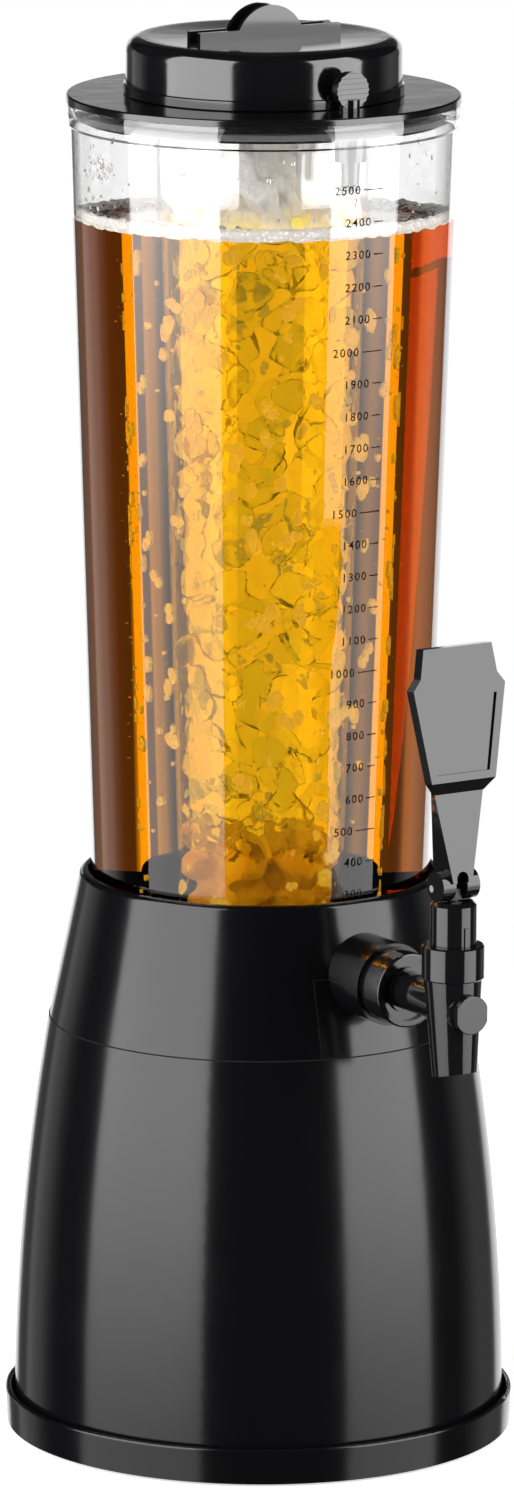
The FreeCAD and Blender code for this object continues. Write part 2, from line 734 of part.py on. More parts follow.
back_nut_form = doc.addObject("Part::Prism", "BackNutForm")
back_nut_form.Polygon = 6
bind(back_nut_form, "Circumradius", "back_nut_radius")
bind(back_nut_form, "Height", "back_nut_thickness")
place(back_nut_form, "0", f"back_nut_thickness - {GASKET_BACK}", TAP_HEIGHT, TO_THE_FRONT)
back_nut_hole = cylinder("BackNutHole", SHANK_HOLE, "pad_inner_face", "0", "0", TAP_HEIGHT, TO_THE_FRONT)
keep(carved("BackNut", back_nut_form, [back_nut_hole]), "back_nut")

sleeve = turned("SpacerSleeve", tube_outline(SHANK_HOLE, "sleeve_radius", "pad_outer_face", "stub_face - stub_wall"))
on_shank_line(sleeve, "spacer_sleeve")

NUT_FACE = "(stub_face + front_nut_length)"
front_nut = turned("FrontNut", [
    (SHANK_HOLE, "stub_face"),
    ("front_nut_radius", "stub_face"),
    ("front_nut_radius", NUT_FACE),
    ("front_nut_dish_radius", NUT_FACE),
    ("front_nut_dish_radius", f"{NUT_FACE} - front_nut_dish_depth"),
    ("front_nut_dish_hub", f"{NUT_FACE} - front_nut_dish_depth"),
    ("front_nut_dish_hub", NUT_FACE),
    (SHANK_HOLE, NUT_FACE),
])
soften(front_nut, "Fillet", "Radius", "front_nut_edge", [("front_nut_radius", "stub_face"),
                                                         ("front_nut_radius", NUT_FACE)])
on_shank_line(front_nut, "front_nut")


# Tap body: a collar ring over a leaning spout, with a valve chamber, a shank socket and a boss for the knob
def on_tap_axis(body, label):
    return keep(place(body, "0", "-tap_reach", TAP_HEIGHT), label)


def circle_sketch(body, radius, height, shift="0"):
    """A circle on a level plane of the body, moved along Y by a formula."""
    sketch = body.newObject("Sketcher::SketchObject", f"{body.Name}Circle")
    sketch.AttachmentSupport = [(origin_feature(body, "XY_Plane"), "")]
    sketch.MapMode = "FlatFace"
    bind(sketch, "AttachmentOffset.Base.z", height)
    bind(sketch, "AttachmentOffset.Base.y", shift)
    sketch.addGeometry(Part.Circle(Vector(), Vector(0, 0, 1), number(radius)), False)
    sketch.addConstraint(Sketcher.Constraint("Coincident", 0, 3, -1, 1))
    index = sketch.addConstraint(Sketcher.Constraint("Radius", 0, number(radius)))
    bind(sketch, f"Constraints[{index}]", radius)
    return sketch


tap = new_body("TapBody")
spout = tap.newObject("PartDesign::AdditiveLoft", "Spout")
spout.Profile = circle_sketch(tap, "spout_top_radius", "ring_low")
SPOUT_LENGTH = "(ring_low + spout_drop)"
SPOUT_STRETCH = f"(({SPOUT_LENGTH} + spout_spare) / {SPOUT_LENGTH})"
spout.Sections = [circle_sketch(
    tap, f"spout_top_radius - (spout_top_radius - spout_tip_radius) * {SPOUT_STRETCH}",
    "-spout_drop - spout_spare", f"-spout_lean * {SPOUT_STRETCH}")]
spout.Ruled = True
mouth_cut = block_feature(tap, "Subtractive", "4 * spout_tip_radius", "4 * spout_tip_radius", "2 * spout_spare",
                          "-2 * spout_tip_radius", "2 * spout_tip_radius * cos(spout_cut_angle) - spout_lean",
                          "-spout_drop - 2 * spout_tip_radius * sin(spout_cut_angle)",
                          Rotation(Vector(1, 0, 0), 180 - number("spout_cut_angle")))
bind(mouth_cut, "Placement.Rotation.Angle", "180 - spout_cut_angle")
round_feature(tap, "Additive", "ring_radius", "ring_high - ring_low", "0", "0", "ring_low")
round_feature(tap, "Additive", "knob_boss_radius", "knob_boss_reach - knob_boss_edge", "0", "0", "-knob_drop",
              TO_THE_FRONT)
boss_edge = tap.newObject("PartDesign::AdditiveCone", "BossEdge")
bind(boss_edge, "Radius1", "knob_boss_radius")
bind(boss_edge, "Radius2", "knob_boss_radius - knob_boss_edge")
bind(boss_edge, "Height", "knob_boss_edge")
place(boss_edge, "0", "knob_boss_edge - knob_boss_reach", "-knob_drop", TO_THE_FRONT)
round_feature(tap, "Subtractive", "chamber_radius", "seat_drop + ring_high", "0", "0", "-seat_drop")
round_feature(tap, "Subtractive", "bonnet_spigot_radius + running_gap", "bonnet_spigot_length", "0", "0",
              "ring_high - bonnet_spigot_length")
round_feature(tap, "Subtractive", "outlet_radius", "spout_drop + spout_spare", "0", "-spout_lean / 2",
              "-spout_drop - spout_spare")
round_feature(tap, "Subtractive", SHANK_HOLE, "ring_radius * 2", "0",
              f"chamber_radius + socket_floor + ring_radius * 2", "0", TO_THE_FRONT)
round_feature(tap, "Subtractive", "shank_bore", "tap_reach - shank_tail", "0", "tap_reach - shank_tail", "0",
              TO_THE_FRONT)
round_feature(tap, "Subtractive", "knob_stem_radius + running_gap", "knob_boss_reach", "0", "0", "-knob_drop",
              TO_THE_FRONT)
soften(tap, "Chamfer", "Size", "ring_edge", [("ring_radius", "ring_high"), ("ring_radius", "ring_low")])
on_tap_axis(tap, "tap_body")

# Bonnet: a sleeve over the spring that screws into the ring, with a chamfered roof and a small rib in front
BONNET_FOOT = "(ring_high - bonnet_spigot_length)"
STEM_HOLE = "(stem_radius + running_gap)"
bonnet = turned("Bonnet", [
    ("chamber_radius", BONNET_FOOT),
    ("bonnet_spigot_radius", BONNET_FOOT),
    ("bonnet_spigot_radius", "ring_high"),
    ("bonnet_radius", "ring_high"),
    ("bonnet_radius", "bonnet_high - bonnet_edge"),
    ("bonnet_radius - bonnet_edge", "bonnet_high"),
    (STEM_HOLE, "bonnet_high"),
    (STEM_HOLE, "bonnet_high - bonnet_roof"),
    ("chamber_radius", "bonnet_high - bonnet_roof"),
])
block_feature(bonnet, "Additive", "bonnet_rib_width", "bonnet_rib_rise + 1", "bonnet_rib_height",
              "-bonnet_rib_width / 2", "-bonnet_radius - bonnet_rib_rise", "ring_high")
on_tap_axis(bonnet, "bonnet")

# Plunger: valve flange, waist in the flow, ringed piston, stem and the eye that the handle's pin goes through
FLANGE_FOOT = "(valve_seal_height - seat_drop)"
PISTON_TOP = "(piston_low + piston_height)"
GROOVE_LOW = "(piston_low + (piston_height - piston_groove_height) / 2)"
PISTON_RADIUS = "(chamber_radius - running_gap)"
EYE_FOOT = "(bonnet_high + eye_foot_gap)"
plunger_stem = turned("PlungerStem", [
    ("0", "-seat_drop"),
    ("valve_stub_radius", "-seat_drop"),
    ("valve_stub_radius", FLANGE_FOOT),
    ("valve_flange_radius", FLANGE_FOOT),
    ("valve_flange_radius", f"{FLANGE_FOOT} + valve_flange_height"),
    ("waist_radius", f"{FLANGE_FOOT} + valve_flange_height"),
    ("waist_radius", "piston_low"),
    (PISTON_RADIUS, "piston_low"),
    (PISTON_RADIUS, GROOVE_LOW),
    (f"{PISTON_RADIUS} - piston_groove_depth", GROOVE_LOW),
    (f"{PISTON_RADIUS} - piston_groove_depth", f"{GROOVE_LOW} + piston_groove_height"),
    (PISTON_RADIUS, f"{GROOVE_LOW} + piston_groove_height"),
    (PISTON_RADIUS, PISTON_TOP),
    ("stem_radius", PISTON_TOP),
    ("stem_radius", f"{EYE_FOOT} + 1"),
    ("0", f"{EYE_FOOT} + 1"),
])
place(plunger_stem, "0", "-tap_reach", TAP_HEIGHT)
eye_round = cylinder("EyeRound", "eye_radius", "eye_thickness", "-eye_thickness / 2",
                     f"{PIN_BACK} - tap_reach", f"{TAP_HEIGHT} + {PIN_RISE}", TO_THE_RIGHT)
eye_root = block("EyeRoot", "eye_thickness", f"stem_radius + {PIN_BACK} + eye_radius", f"{PIN_RISE} - {EYE_FOOT}",
                 "-eye_thickness / 2", "-tap_reach - stem_radius", f"{TAP_HEIGHT} + {EYE_FOOT}")
eye_hole = cylinder("EyeHole", "pin_radius + running_gap", "eye_thickness + 2", "-eye_thickness / 2 - 1",
                    f"{PIN_BACK} - tap_reach", f"{TAP_HEIGHT} + {PIN_RISE}", TO_THE_RIGHT)
keep(carved("Plunger", joined("PlungerWhole", [plunger_stem, eye_round, eye_root]), [eye_hole]), "plunger")

valve_seal = turned("ValveSeal", tube_outline("valve_stub_radius", "valve_seal_radius", "-seat_drop", FLANGE_FOOT))
on_tap_axis(valve_seal, "valve_seal")

piston_ring = turned("PistonRing", tube_outline(
    f"{PISTON_RADIUS} - piston_groove_depth", f"chamber_radius - running_gap / 2",
    f"{GROOVE_LOW} + running_gap", f"{GROOVE_LOW} + piston_groove_height - running_gap"))
on_tap_axis(piston_ring, "piston_ring")

# Closing spring between the piston and the bonnet's roof
SPRING_ROOM = "(bonnet_high - bonnet_roof - piston_low - piston_height - 2 * spring_wire_radius)"
spring_path = doc.addObject("Part::Helix", "SpringPath")
bind(spring_path, "Radius", "spring_coil_radius")
bind(spring_path, "Height", SPRING_ROOM)
bind(spring_path, "Pitch", f"{SPRING_ROOM} / spring_turns")
place(spring_path, "0", "-tap_reach", f"{TAP_HEIGHT} + piston_low + piston_height + spring_wire_radius")
spring_section = doc.addObject("Part::Circle", "SpringSection")
bind(spring_section, "Radius", "spring_wire_radius")
place(spring_section, "spring_coil_radius", "-tap_reach",
      f"{TAP_HEIGHT} + piston_low + piston_height + spring_wire_radius", TO_THE_FRONT)
spring = doc.addObject("Part::Sweep", "TapSpring")
spring.Sections = [spring_section]
spring.Spine = (spring_path, [])
spring.Solid = True
spring.Frenet = True
keep(spring, "tap_spring")

# Handle: modelled upright about the centre of its barrel, then leaned back over the tap
LEAN = Rotation(Vector(-1, 0, 0), number("handle_lean"))
handle_form = new_body("HandleForm")


def both_sides(rows):
    """A closed outline from (width, height) rows, mirrored about the middle."""
    right = [(f"{width} / 2", height) for width, height in rows]
    left = [(f"-{width} / 2", height) for width, height in reversed(rows)]
    return right + left


PADDLE_BACK = "(paddle_face - paddle_thickness)"
padded_out(handle_form, "XZ_Plane", both_sides([
    ("neck_top_width", "neck_top_rise"),
    ("paddle_foot_width", "paddle_foot_rise"),
    ("paddle_width", "paddle_wide_rise"),
    ("paddle_step_width", "paddle_step_rise"),
    ("paddle_top_width", "paddle_top_rise"),
]), "paddle_thickness", PADDLE_BACK)

undercut = handle_form.newObject("PartDesign::Pocket", "Undercut")
undercut.Profile = sketch_on(handle_form, "YZ_Plane", [
    ("-paddle_face - 1", "neck_top_rise - 1"),
    ("-neck_face", "neck_top_rise - 1"),
    ("-neck_face", "neck_top_rise"),
    ("-paddle_face", "paddle_foot_rise"),
    ("-paddle_face - 1", "paddle_foot_rise"),
])
undercut.Type = "ThroughAll"
undercut.Midplane = True

panel = handle_form.newObject("PartDesign::Pocket", "Panel")
panel.Profile = sketch_on(handle_form, "XZ_Plane", both_sides([
    ("panel_low_width", "panel_low"),
    ("panel_high_width", "panel_high"),
]), None, "paddle_face")
bind(panel, "Length", "panel_depth")

neck = handle_form.newObject("PartDesign::AdditiveLoft", "Neck")
neck.Profile = sketch_on(handle_form, "XY_Plane", [
    ("-neck_foot_width / 2", "-neck_face"),
    ("neck_foot_width / 2", "-neck_face"),
    ("neck_foot_back_width / 2", "neck_foot_back"),
    ("-neck_foot_back_width / 2", "neck_foot_back"),
], None, "neck_foot_rise")
neck.Sections = [sketch_on(handle_form, "XY_Plane", [
    ("-neck_top_width / 2", "-neck_face"),
    ("neck_top_width / 2", "-neck_face"),
    ("neck_top_back_width / 2", "neck_top_depth - neck_face"),
    ("-neck_top_back_width / 2", "neck_top_depth - neck_face"),
], None, "neck_top_rise + 1.5")]
neck.Ruled = True

round_feature(handle_form, "Additive", "barrel_radius", "barrel_length", "-barrel_length / 2", "0", "0", TO_THE_RIGHT)
SLOT_WIDTH = "(eye_thickness + 2 * eye_gap)"
SLOT_REACH = "(neck_face + neck_foot_back + 4)"
block_feature(handle_form, "Subtractive", SLOT_WIDTH, SLOT_REACH, f"barrel_radius + 1 + slot_rise - {SLOT_WIDTH} / 2",
              f"-{SLOT_WIDTH} / 2", "-neck_face - 1", "-barrel_radius - 1")
round_feature(handle_form, "Subtractive", f"{SLOT_WIDTH} / 2", SLOT_REACH, "0", f"{SLOT_REACH} - neck_face - 1",
              f"slot_rise - {SLOT_WIDTH} / 2", TO_THE_FRONT)
round_feature(handle_form, "Subtractive", "pin_radius + screw_gap", "barrel_length + 2", "-barrel_length / 2 - 1",
              f"cam_offset * cos({HALF_TILT} - handle_lean)", f"-cam_offset * sin({HALF_TILT} - handle_lean)",
              TO_THE_RIGHT)
place(handle_form, "0", "-tap_reach", f"{TAP_HEIGHT} + {BARREL_RISE}", LEAN)
bind(handle_form, "Placement.Rotation.Angle", "handle_lean")
keep(handle_form, "handle")

pin = cylinder("HandlePin", "pin_radius", "barrel_length", "-barrel_length / 2", f"{PIN_BACK} - tap_reach",
               f"{TAP_HEIGHT} + {PIN_RISE}", TO_THE_RIGHT)
keep(pin, "handle_pin")

# Flow knob: a round head on a short neck, whose stem ends in an offset finger inside the chamber
KNOB_GROOVE_END = "(knob_groove_start + knob_groove_length)"
KNOB_NECK_END = "(knob_boss_reach + loose_gap + knob_neck_length)"
KNOB_FACE = f"({KNOB_NECK_END} + knob_disc_thickness)"
knob = turned("FlowKnob", [
    ("0", "chamber_radius + loose_gap"),
    ("knob_stem_radius", "chamber_radius + loose_gap"),
    ("knob_stem_radius", "knob_groove_start"),
    ("knob_stem_radius - knob_groove_depth", "knob_groove_start"),
    ("knob_stem_radius - knob_groove_depth", KNOB_GROOVE_END),
    ("knob_stem_radius", KNOB_GROOVE_END),
    ("knob_stem_radius", "knob_boss_reach + loose_gap"),
    ("knob_neck_radius", "knob_boss_reach + loose_gap"),
    ("knob_neck_radius", KNOB_NECK_END),
    ("knob_disc_radius", KNOB_NECK_END),
    ("knob_disc_radius", KNOB_FACE),
    ("0", KNOB_FACE),
])
soften(knob, "Fillet", "Radius", "knob_disc_edge", [("knob_disc_radius", KNOB_FACE),
                                                    ("knob_disc_radius", KNOB_NECK_END)])
for flat_side in ("knob_flat_spacing / 2", "-knob_flat_spacing / 2 - knob_disc_radius"):
    block_feature(knob, "Subtractive", "knob_disc_radius", "2 * knob_disc_radius", "knob_disc_thickness + 1",
                  flat_side, "-knob_disc_radius", f"{KNOB_NECK_END} - 0.1")
round_feature(knob, "Additive", "knob_finger_radius", "knob_finger_length + 1", "0", "knob_finger_offset",
              "chamber_radius + loose_gap - knob_finger_length")
keep(place(knob, "0", "-tap_reach", f"{TAP_HEIGHT} - knob_drop", TO_THE_FRONT), "flow_knob")

knob_seal = turned("KnobSeal", tube_outline(
    "knob_stem_radius - knob_groove_depth", "knob_stem_radius + running_gap / 2",
    "knob_groove_start + running_gap", f"{KNOB_GROOVE_END} - running_gap"))
keep(place(knob_seal, "0", "-tap_reach", f"{TAP_HEIGHT} - knob_drop", TO_THE_FRONT), "knob_seal")

# Lid flange: a plate on the vessel's lip with a skirt and a socket for the vent plug
SEAL_TOP = f"({VESSEL_TOP} - lid_seal_drop)"
SEAL_FOOT = f"({SEAL_TOP} - lid_seal_height)"
SEAL_BORE = "(lid_seal_radius - lid_seal_width)"
SKIRT_FOOT = f"({VESSEL_TOP} - lid_skirt_depth)"
lid = turned("LidFlange", [
    (TUBE_HOLE, VESSEL_TOP),
    ("lid_skirt_radius - lid_skirt_wall", VESSEL_TOP),
    ("lid_skirt_radius - lid_skirt_wall", SKIRT_FOOT),
    ("lid_skirt_radius", SKIRT_FOOT),
    ("lid_skirt_radius", SEAL_FOOT),
    (SEAL_BORE, SEAL_FOOT),
    (SEAL_BORE, SEAL_TOP),
    ("lid_skirt_radius", SEAL_TOP),
    ("lid_skirt_radius", VESSEL_TOP),
    ("lid_radius", VESSEL_TOP),
    ("lid_radius", LID_TOP),
    (TUBE_HOLE, LID_TOP),
])
round_feature(lid, "Additive", "vent_socket_radius", "vent_socket_depth + lid_plate / 2", "0", "-vent_circle",
              f"{VESSEL_TOP} - vent_socket_depth")
round_feature(lid, "Subtractive", "vent_stem_radius + vent_gap", "vent_socket_depth + 2 * lid_plate", "0",
              "-vent_circle", f"{VESSEL_TOP} - vent_socket_depth")
soften(lid, "Fillet", "Radius", "lid_plate / 3", [("lid_radius", LID_TOP)])
keep(lid, "lid_flange")

# Lid neck: the ring that is bonded on the plate and carries the cap
keep(turned("LidNeck", tube_outline("neck_radius - neck_wall", "neck_radius", LID_TOP, NECK_TOP)), "lid_neck")

lid_seal = turned("LidSeal", tube_outline(SEAL_BORE, "lid_seal_radius", SEAL_FOOT, SEAL_TOP))
keep(lid_seal, "lid_seal")

# Vent plug: a stem with a ring in a groove, a tapered tip, and an upright ribbed disc to pull it by
RING_TOP = f"({LID_TOP} - vent_ring_drop)"
VENT_STEM_FOOT = f"({VESSEL_TOP} - vent_socket_depth)"
vent_stem = turned("VentStem", [
    ("0", f"{VENT_STEM_FOOT} - vent_tip_length"),
    ("vent_tip_radius", f"{VENT_STEM_FOOT} - vent_tip_length"),
    ("vent_stem_radius", VENT_STEM_FOOT),
    ("vent_stem_radius", f"{RING_TOP} - vent_ring_height"),
    ("vent_stem_radius - vent_ring_depth", f"{RING_TOP} - vent_ring_height"),
    ("vent_stem_radius - vent_ring_depth", RING_TOP),
    ("vent_stem_radius", RING_TOP),
    ("vent_stem_radius", f"{LID_TOP} + vent_head_rise - vent_head_radius / 2"),
    ("0", f"{LID_TOP} + vent_head_rise - vent_head_radius / 2"),
])
place(vent_stem, "0", "-vent_circle")
HEAD_HEIGHT = f"({LID_TOP} + vent_head_rise)"
vent_head = cylinder("VentHead", "vent_head_radius", "vent_head_thickness", "0",
                     "-vent_circle + vent_head_thickness / 2", HEAD_HEIGHT, TO_THE_FRONT)
vent_rib_disc = cylinder("VentRibDisc", "vent_head_radius", "vent_head_thickness + 2 * vent_rib_rise", "0",
                         "-vent_circle + vent_head_thickness / 2 + vent_rib_rise", HEAD_HEIGHT, TO_THE_FRONT)
vent_rib_body = new_body("VentRibBars")
vent_rib_body.AllowCompound = True
RIB_PITCH = "(2 * vent_head_radius / vent_rib_count)"
vent_rib = block_feature(vent_rib_body, "Additive", "2 * vent_head_radius", "2 * vent_head_radius", "vent_rib_width",
                         "-vent_head_radius", "-vent_head_radius",
                         f"-vent_head_radius + ({RIB_PITCH} - vent_rib_width) / 2")
vent_ribs = vent_rib_body.newObject("PartDesign::LinearPattern", "VentRibRow")
vent_ribs.Originals = [vent_rib]
vent_ribs.Direction = (origin_feature(vent_rib_body, "Z_Axis"), [""])
bind(vent_ribs, "Length", f"{RIB_PITCH} * (vent_rib_count - 1)")
bind(vent_ribs, "Occurrences", "vent_rib_count")
vent_rib_body.Tip = vent_ribs
place(vent_rib_body, "0", "-vent_circle", HEAD_HEIGHT)
vent_rib_set = doc.addObject("Part::Common", "VentRibs")
vent_rib_set.Base = vent_rib_disc
vent_rib_set.Tool = vent_rib_body
keep(joined("VentPlug", [vent_stem, vent_head, vent_rib_set]), "vent_plug")

vent_seal = turned("VentPlugSeal", tube_outline(
    "vent_stem_radius - vent_ring_depth", "vent_stem_radius + vent_gap - running_gap",
    f"{RING_TOP} - vent_ring_height + running_gap", f"{RING_TOP} - running_gap"))
keep(place(vent_seal, "0", "-vent_circle"), "vent_plug_seal")

# Ice tube: a long closed cup that hangs by its flange in the lid's neck
TUBE_FOOT = f"({LID_TOP} - tube_length)"
FLANGE_LOW = f"({LID_TOP} + tube_gasket_thickness)"
ice_tube = turned("IceTube", [
    ("0", TUBE_FOOT),
    ("tube_foot_radius", TUBE_FOOT),
    ("tube_top_radius", LID_TOP),
    ("tube_top_radius", FLANGE_LOW),
    ("tube_flange_radius", FLANGE_LOW),
    ("tube_flange_radius", TUBE_TOP),
    ("tube_top_radius - tube_wall", TUBE_TOP),
    ("tube_top_radius - tube_wall", LID_TOP),
    ("tube_foot_radius - tube_wall", f"{TUBE_FOOT} + tube_floor"),
    ("0", f"{TUBE_FOOT} + tube_floor"),
])
keep(ice_tube, "ice_tube")

tube_gasket = turned("IceTubeSeal", tube_outline(TUBE_HOLE, "tube_flange_radius", LID_TOP, FLANGE_LOW))
keep(tube_gasket, "ice_tube_seal")

# Cap: a dished cover with a sleeve round the lid's neck and two upright plates to turn it by
SLEEVE_BORE = "(neck_radius + cap_neck_gap)"
SLEEVE_RADIUS = f"({SLEEVE_BORE} + cap_sleeve_wall)"
CEILING = f"({CAP_TOP} - cap_roof)"
BEAD_TOP = f"({CAP_FOOT} + cap_bead_height)"
DISH_RIM = "(cap_radius - cap_round - 2)"
cap_form = turned("CapForm", [
    ("0", CEILING),
    (SLEEVE_BORE, CEILING),
    (SLEEVE_BORE, f"{CEILING} - cap_sleeve_length"),
    (SLEEVE_RADIUS, f"{CEILING} - cap_sleeve_length"),
    (SLEEVE_RADIUS, CEILING),
    ("cap_radius - cap_wall", f"{CEILING} - cap_round / 2"),
    ("cap_radius - cap_wall", CAP_FOOT),
    ("cap_radius + cap_bead_rise", CAP_FOOT),
    ("cap_radius + cap_bead_rise", BEAD_TOP),
    ("cap_radius", f"{BEAD_TOP} + cap_bead_rise / 2"),
    ("cap_radius", CAP_TOP),
    (DISH_RIM, CAP_TOP),
    ("0", f"{CAP_TOP} - cap_dish"),
])
soften(cap_form, "Fillet", "Radius", "cap_round", [("cap_radius", CAP_TOP)])

GRIP_ARCH_CENTRE = "(cap_height + grip_arch_rise - grip_arch_radius)"
GRIP_TOP = "(cap_height + grip_rise)"
ARCH_HALF = f"sqrt(grip_arch_radius^2 - ({GRIP_TOP} - {GRIP_ARCH_CENTRE})^2)"
grips = []
for grip_name, side in (("FrontGrip", "-1"), ("RearGrip", "1")):
    grip = new_body(grip_name)
    padded_out(grip, "XZ_Plane", [
        ("grip_length / 2", "cap_height - grip_root"),
        ("grip_length / 2", GRIP_TOP),
        (ARCH_HALF, GRIP_TOP),
        (f"-{ARCH_HALF}", GRIP_TOP),
        ("-grip_length / 2", GRIP_TOP),
        ("-grip_length / 2", "cap_height - grip_root"),
    ], "grip_thickness", "-grip_thickness / 2", {2: ("grip_arch_radius", ("0", GRIP_ARCH_CENTRE))})
    grips.append(place(grip, "0", f"{side} * grip_spacing / 2", LID_TOP))
keep(joined("Cap", [cap_form] + grips), "cap")

cap_seal = turned("CapSeal", tube_outline("neck_radius - neck_wall - 0.5", f"{SLEEVE_BORE} - running_gap",
                                          f"{CEILING} - cap_seal_thickness", CEILING))
keep(cap_seal, "cap_seal")

doc.recompute()

faults = [thing.Name for thing in doc.Objects if {"Invalid", "Error"} & set(thing.State)]
faults += [node.Label for node in nodes if node.Shape.isNull() or not node.Shape.isValid() or not node.Shape.Solids]
if faults:
    raise SystemExit("These did not build: " + ", ".join(faults))

os.makedirs("parts", exist_ok=True)
for node in nodes:
    node.Shape.exportStep(f"parts/{node.Label}.step")
    box = node.Shape.BoundBox
    print(f"{node.Label}: {len(node.Shape.Solids)} solid(s), {node.Shape.Volume / 1000:.2f} cm3, "
          f"z {box.ZMin:.1f} to {box.ZMax:.1f}")
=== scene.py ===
# %% [markdown]
# # A beer tower with an ice tube, dressed for the camera
#
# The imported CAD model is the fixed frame: every plastic shell, seal and screw is already in its place.
# This notebook adds what CAD leaves out: the drink, its foam, the crushed ice, the printed scale, the
# droplets, all the finishes, and a small photo studio. Everything is in metres, +Z is up, and the tap
# points along -Y.

import math
import random

import bpy
from mathutils import Matrix, Vector, noise


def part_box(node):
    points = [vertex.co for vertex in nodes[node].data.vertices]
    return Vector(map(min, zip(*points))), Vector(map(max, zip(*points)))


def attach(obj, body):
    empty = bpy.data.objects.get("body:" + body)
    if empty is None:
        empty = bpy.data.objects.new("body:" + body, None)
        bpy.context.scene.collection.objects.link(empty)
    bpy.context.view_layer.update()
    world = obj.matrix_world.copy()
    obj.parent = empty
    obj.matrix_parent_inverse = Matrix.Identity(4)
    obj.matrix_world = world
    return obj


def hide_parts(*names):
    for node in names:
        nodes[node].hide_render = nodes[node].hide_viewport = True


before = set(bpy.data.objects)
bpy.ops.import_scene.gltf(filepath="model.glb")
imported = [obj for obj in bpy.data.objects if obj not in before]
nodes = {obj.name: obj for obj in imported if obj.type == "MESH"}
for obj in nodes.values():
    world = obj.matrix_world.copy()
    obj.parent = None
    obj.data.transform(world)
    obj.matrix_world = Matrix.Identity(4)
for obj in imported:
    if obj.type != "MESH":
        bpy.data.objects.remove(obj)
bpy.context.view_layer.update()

# %% [markdown]
# ## Heights that the contents share
#
# The drink stands between two tapering walls: the inside of the vessel and the outside of the ice tube.
# Both are straight lines in profile, so a radius at any height is a straight-line sum between two sizes.
# The heights of both walls' ends are read off the CAD nodes' boxes. The radii there are the CAD model's own
# sizes, and the drink's level is chosen just under the 2400 mark.

# %% Vessel and tube profiles
vessel_low, vessel_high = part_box("vessel")
tube_low, tube_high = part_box("ice_tube")

VESSEL_WALL = 0.002
TUBE_WALL = 0.0018
VESSEL_LIP_DROP = 0.0085
TUBE_COLLAR_DROP = 0.0026
VESSEL_FOOT_Z, VESSEL_LIP_Z = vessel_low.z, vessel_high.z - VESSEL_LIP_DROP
VESSEL_FOOT_R, VESSEL_LIP_R = 0.0598, 0.0684
TUBE_FOOT_Z, TUBE_TOP_Z = tube_low.z, tube_high.z - TUBE_COLLAR_DROP
TUBE_FOOT_R, TUBE_TOP_R = 0.0309, 0.0386
BEER_TOP_Z = 0.4385


def straight(z, low_z, low_r, high_z, high_r):
    """The radius of a straight-sided cone at a height."""
    return low_r + (high_r - low_r) * (z - low_z) / (high_z - low_z)


def vessel_radius(z):
    """The vessel's outer radius."""
    return straight(z, VESSEL_FOOT_Z, VESSEL_FOOT_R, VESSEL_LIP_Z, VESSEL_LIP_R)


def tube_radius(z):
    """The ice tube's outer radius."""
    return straight(z, TUBE_FOOT_Z, TUBE_FOOT_R, TUBE_TOP_Z, TUBE_TOP_R)


def vessel_bore(z):
    """The vessel's inner radius."""
    return vessel_radius(z) - VESSEL_WALL


def tube_bore(z):
    """The ice tube's inner radius."""
    return tube_radius(z) - TUBE_WALL


print("vessel radius at the drink's top:", round(vessel_radius(BEER_TOP_Z), 4))

# %% [markdown]
# ## The camera
#
# The picture is taken with a long lens from the front left, and looks a little down on the lid. Position
# and angles come from the ellipses that the round rims make, and the lens is given for a 36 mm sensor.

# %% Camera
CAMERA_AZIMUTH = math.radians(-32.5)
CAMERA_DISTANCE = 3.433
CAMERA_HEIGHT = 0.9636
CAMERA_PITCH = math.radians(11.819)
CAMERA_ROLL = math.radians(0.2405)
CAMERA_AIM_OFF_AXIS = math.radians(0.024)
CAMERA_LENS_MM = 237.33
CAMERA_SENSOR_MM = 36
CAMERA_SEES_TO = 50

camera_data = bpy.data.cameras.new("photo_camera")
camera_data.lens = CAMERA_LENS_MM
camera_data.sensor_width = CAMERA_SENSOR_MM
camera_data.clip_end = CAMERA_SEES_TO
camera = bpy.data.objects.new("photo_camera", camera_data)
bpy.context.scene.collection.objects.link(camera)
bpy.context.scene.camera = camera
camera.location = (
    CAMERA_DISTANCE * math.sin(CAMERA_AZIMUTH),
    -CAMERA_DISTANCE * math.cos(CAMERA_AZIMUTH),
    CAMERA_HEIGHT,
)
heading = Matrix.Rotation(CAMERA_AZIMUTH + CAMERA_AIM_OFF_AXIS, 4, "Z")
tilt = Matrix.Rotation(math.pi / 2 - CAMERA_PITCH, 4, "X")
roll = Matrix.Rotation(CAMERA_ROLL, 4, "Z")
camera.rotation_euler = (heading @ tilt @ roll).to_euler()
print("camera at", [round(c, 3) for c in camera.location])

# %% [markdown]
# ## Node helpers
#
# A finish is a small tree of nodes. The same few steps come back in every one of them: set some sockets,
# lay a texture on the piece, turn a height into bent reflections, and pick between two colours. They are
# written once here. A texture always reads Object coordinates, so that it moves with its piece.

# %% Small helpers for node materials
def set_sockets(node, **values):
    """Set some of a node's inputs. An underscore in a name stands for a space."""
    for label, value in values.items():
        node.inputs[label.replace("_", " ")].default_value = value


def new_group(name, inputs, outputs):
    """An empty shader node group with named sockets."""
    group = bpy.data.node_groups.new(name, "ShaderNodeTree")
    for label, kind, value in inputs:
        socket = group.interface.new_socket(label, in_out="INPUT", socket_type=kind)
        socket.default_value = value
    for label, kind in outputs:
        group.interface.new_socket(label, in_out="OUTPUT", socket_type=kind)
    return group, group.nodes.new("NodeGroupInput"), group.nodes.new("NodeGroupOutput")


def put_group(material_nodes, group, **values):
    """Place a shader group in a material with its own values."""
    node = material_nodes.new("ShaderNodeGroup")
    node.node_tree = group
    set_sockets(node, **values)
    return node


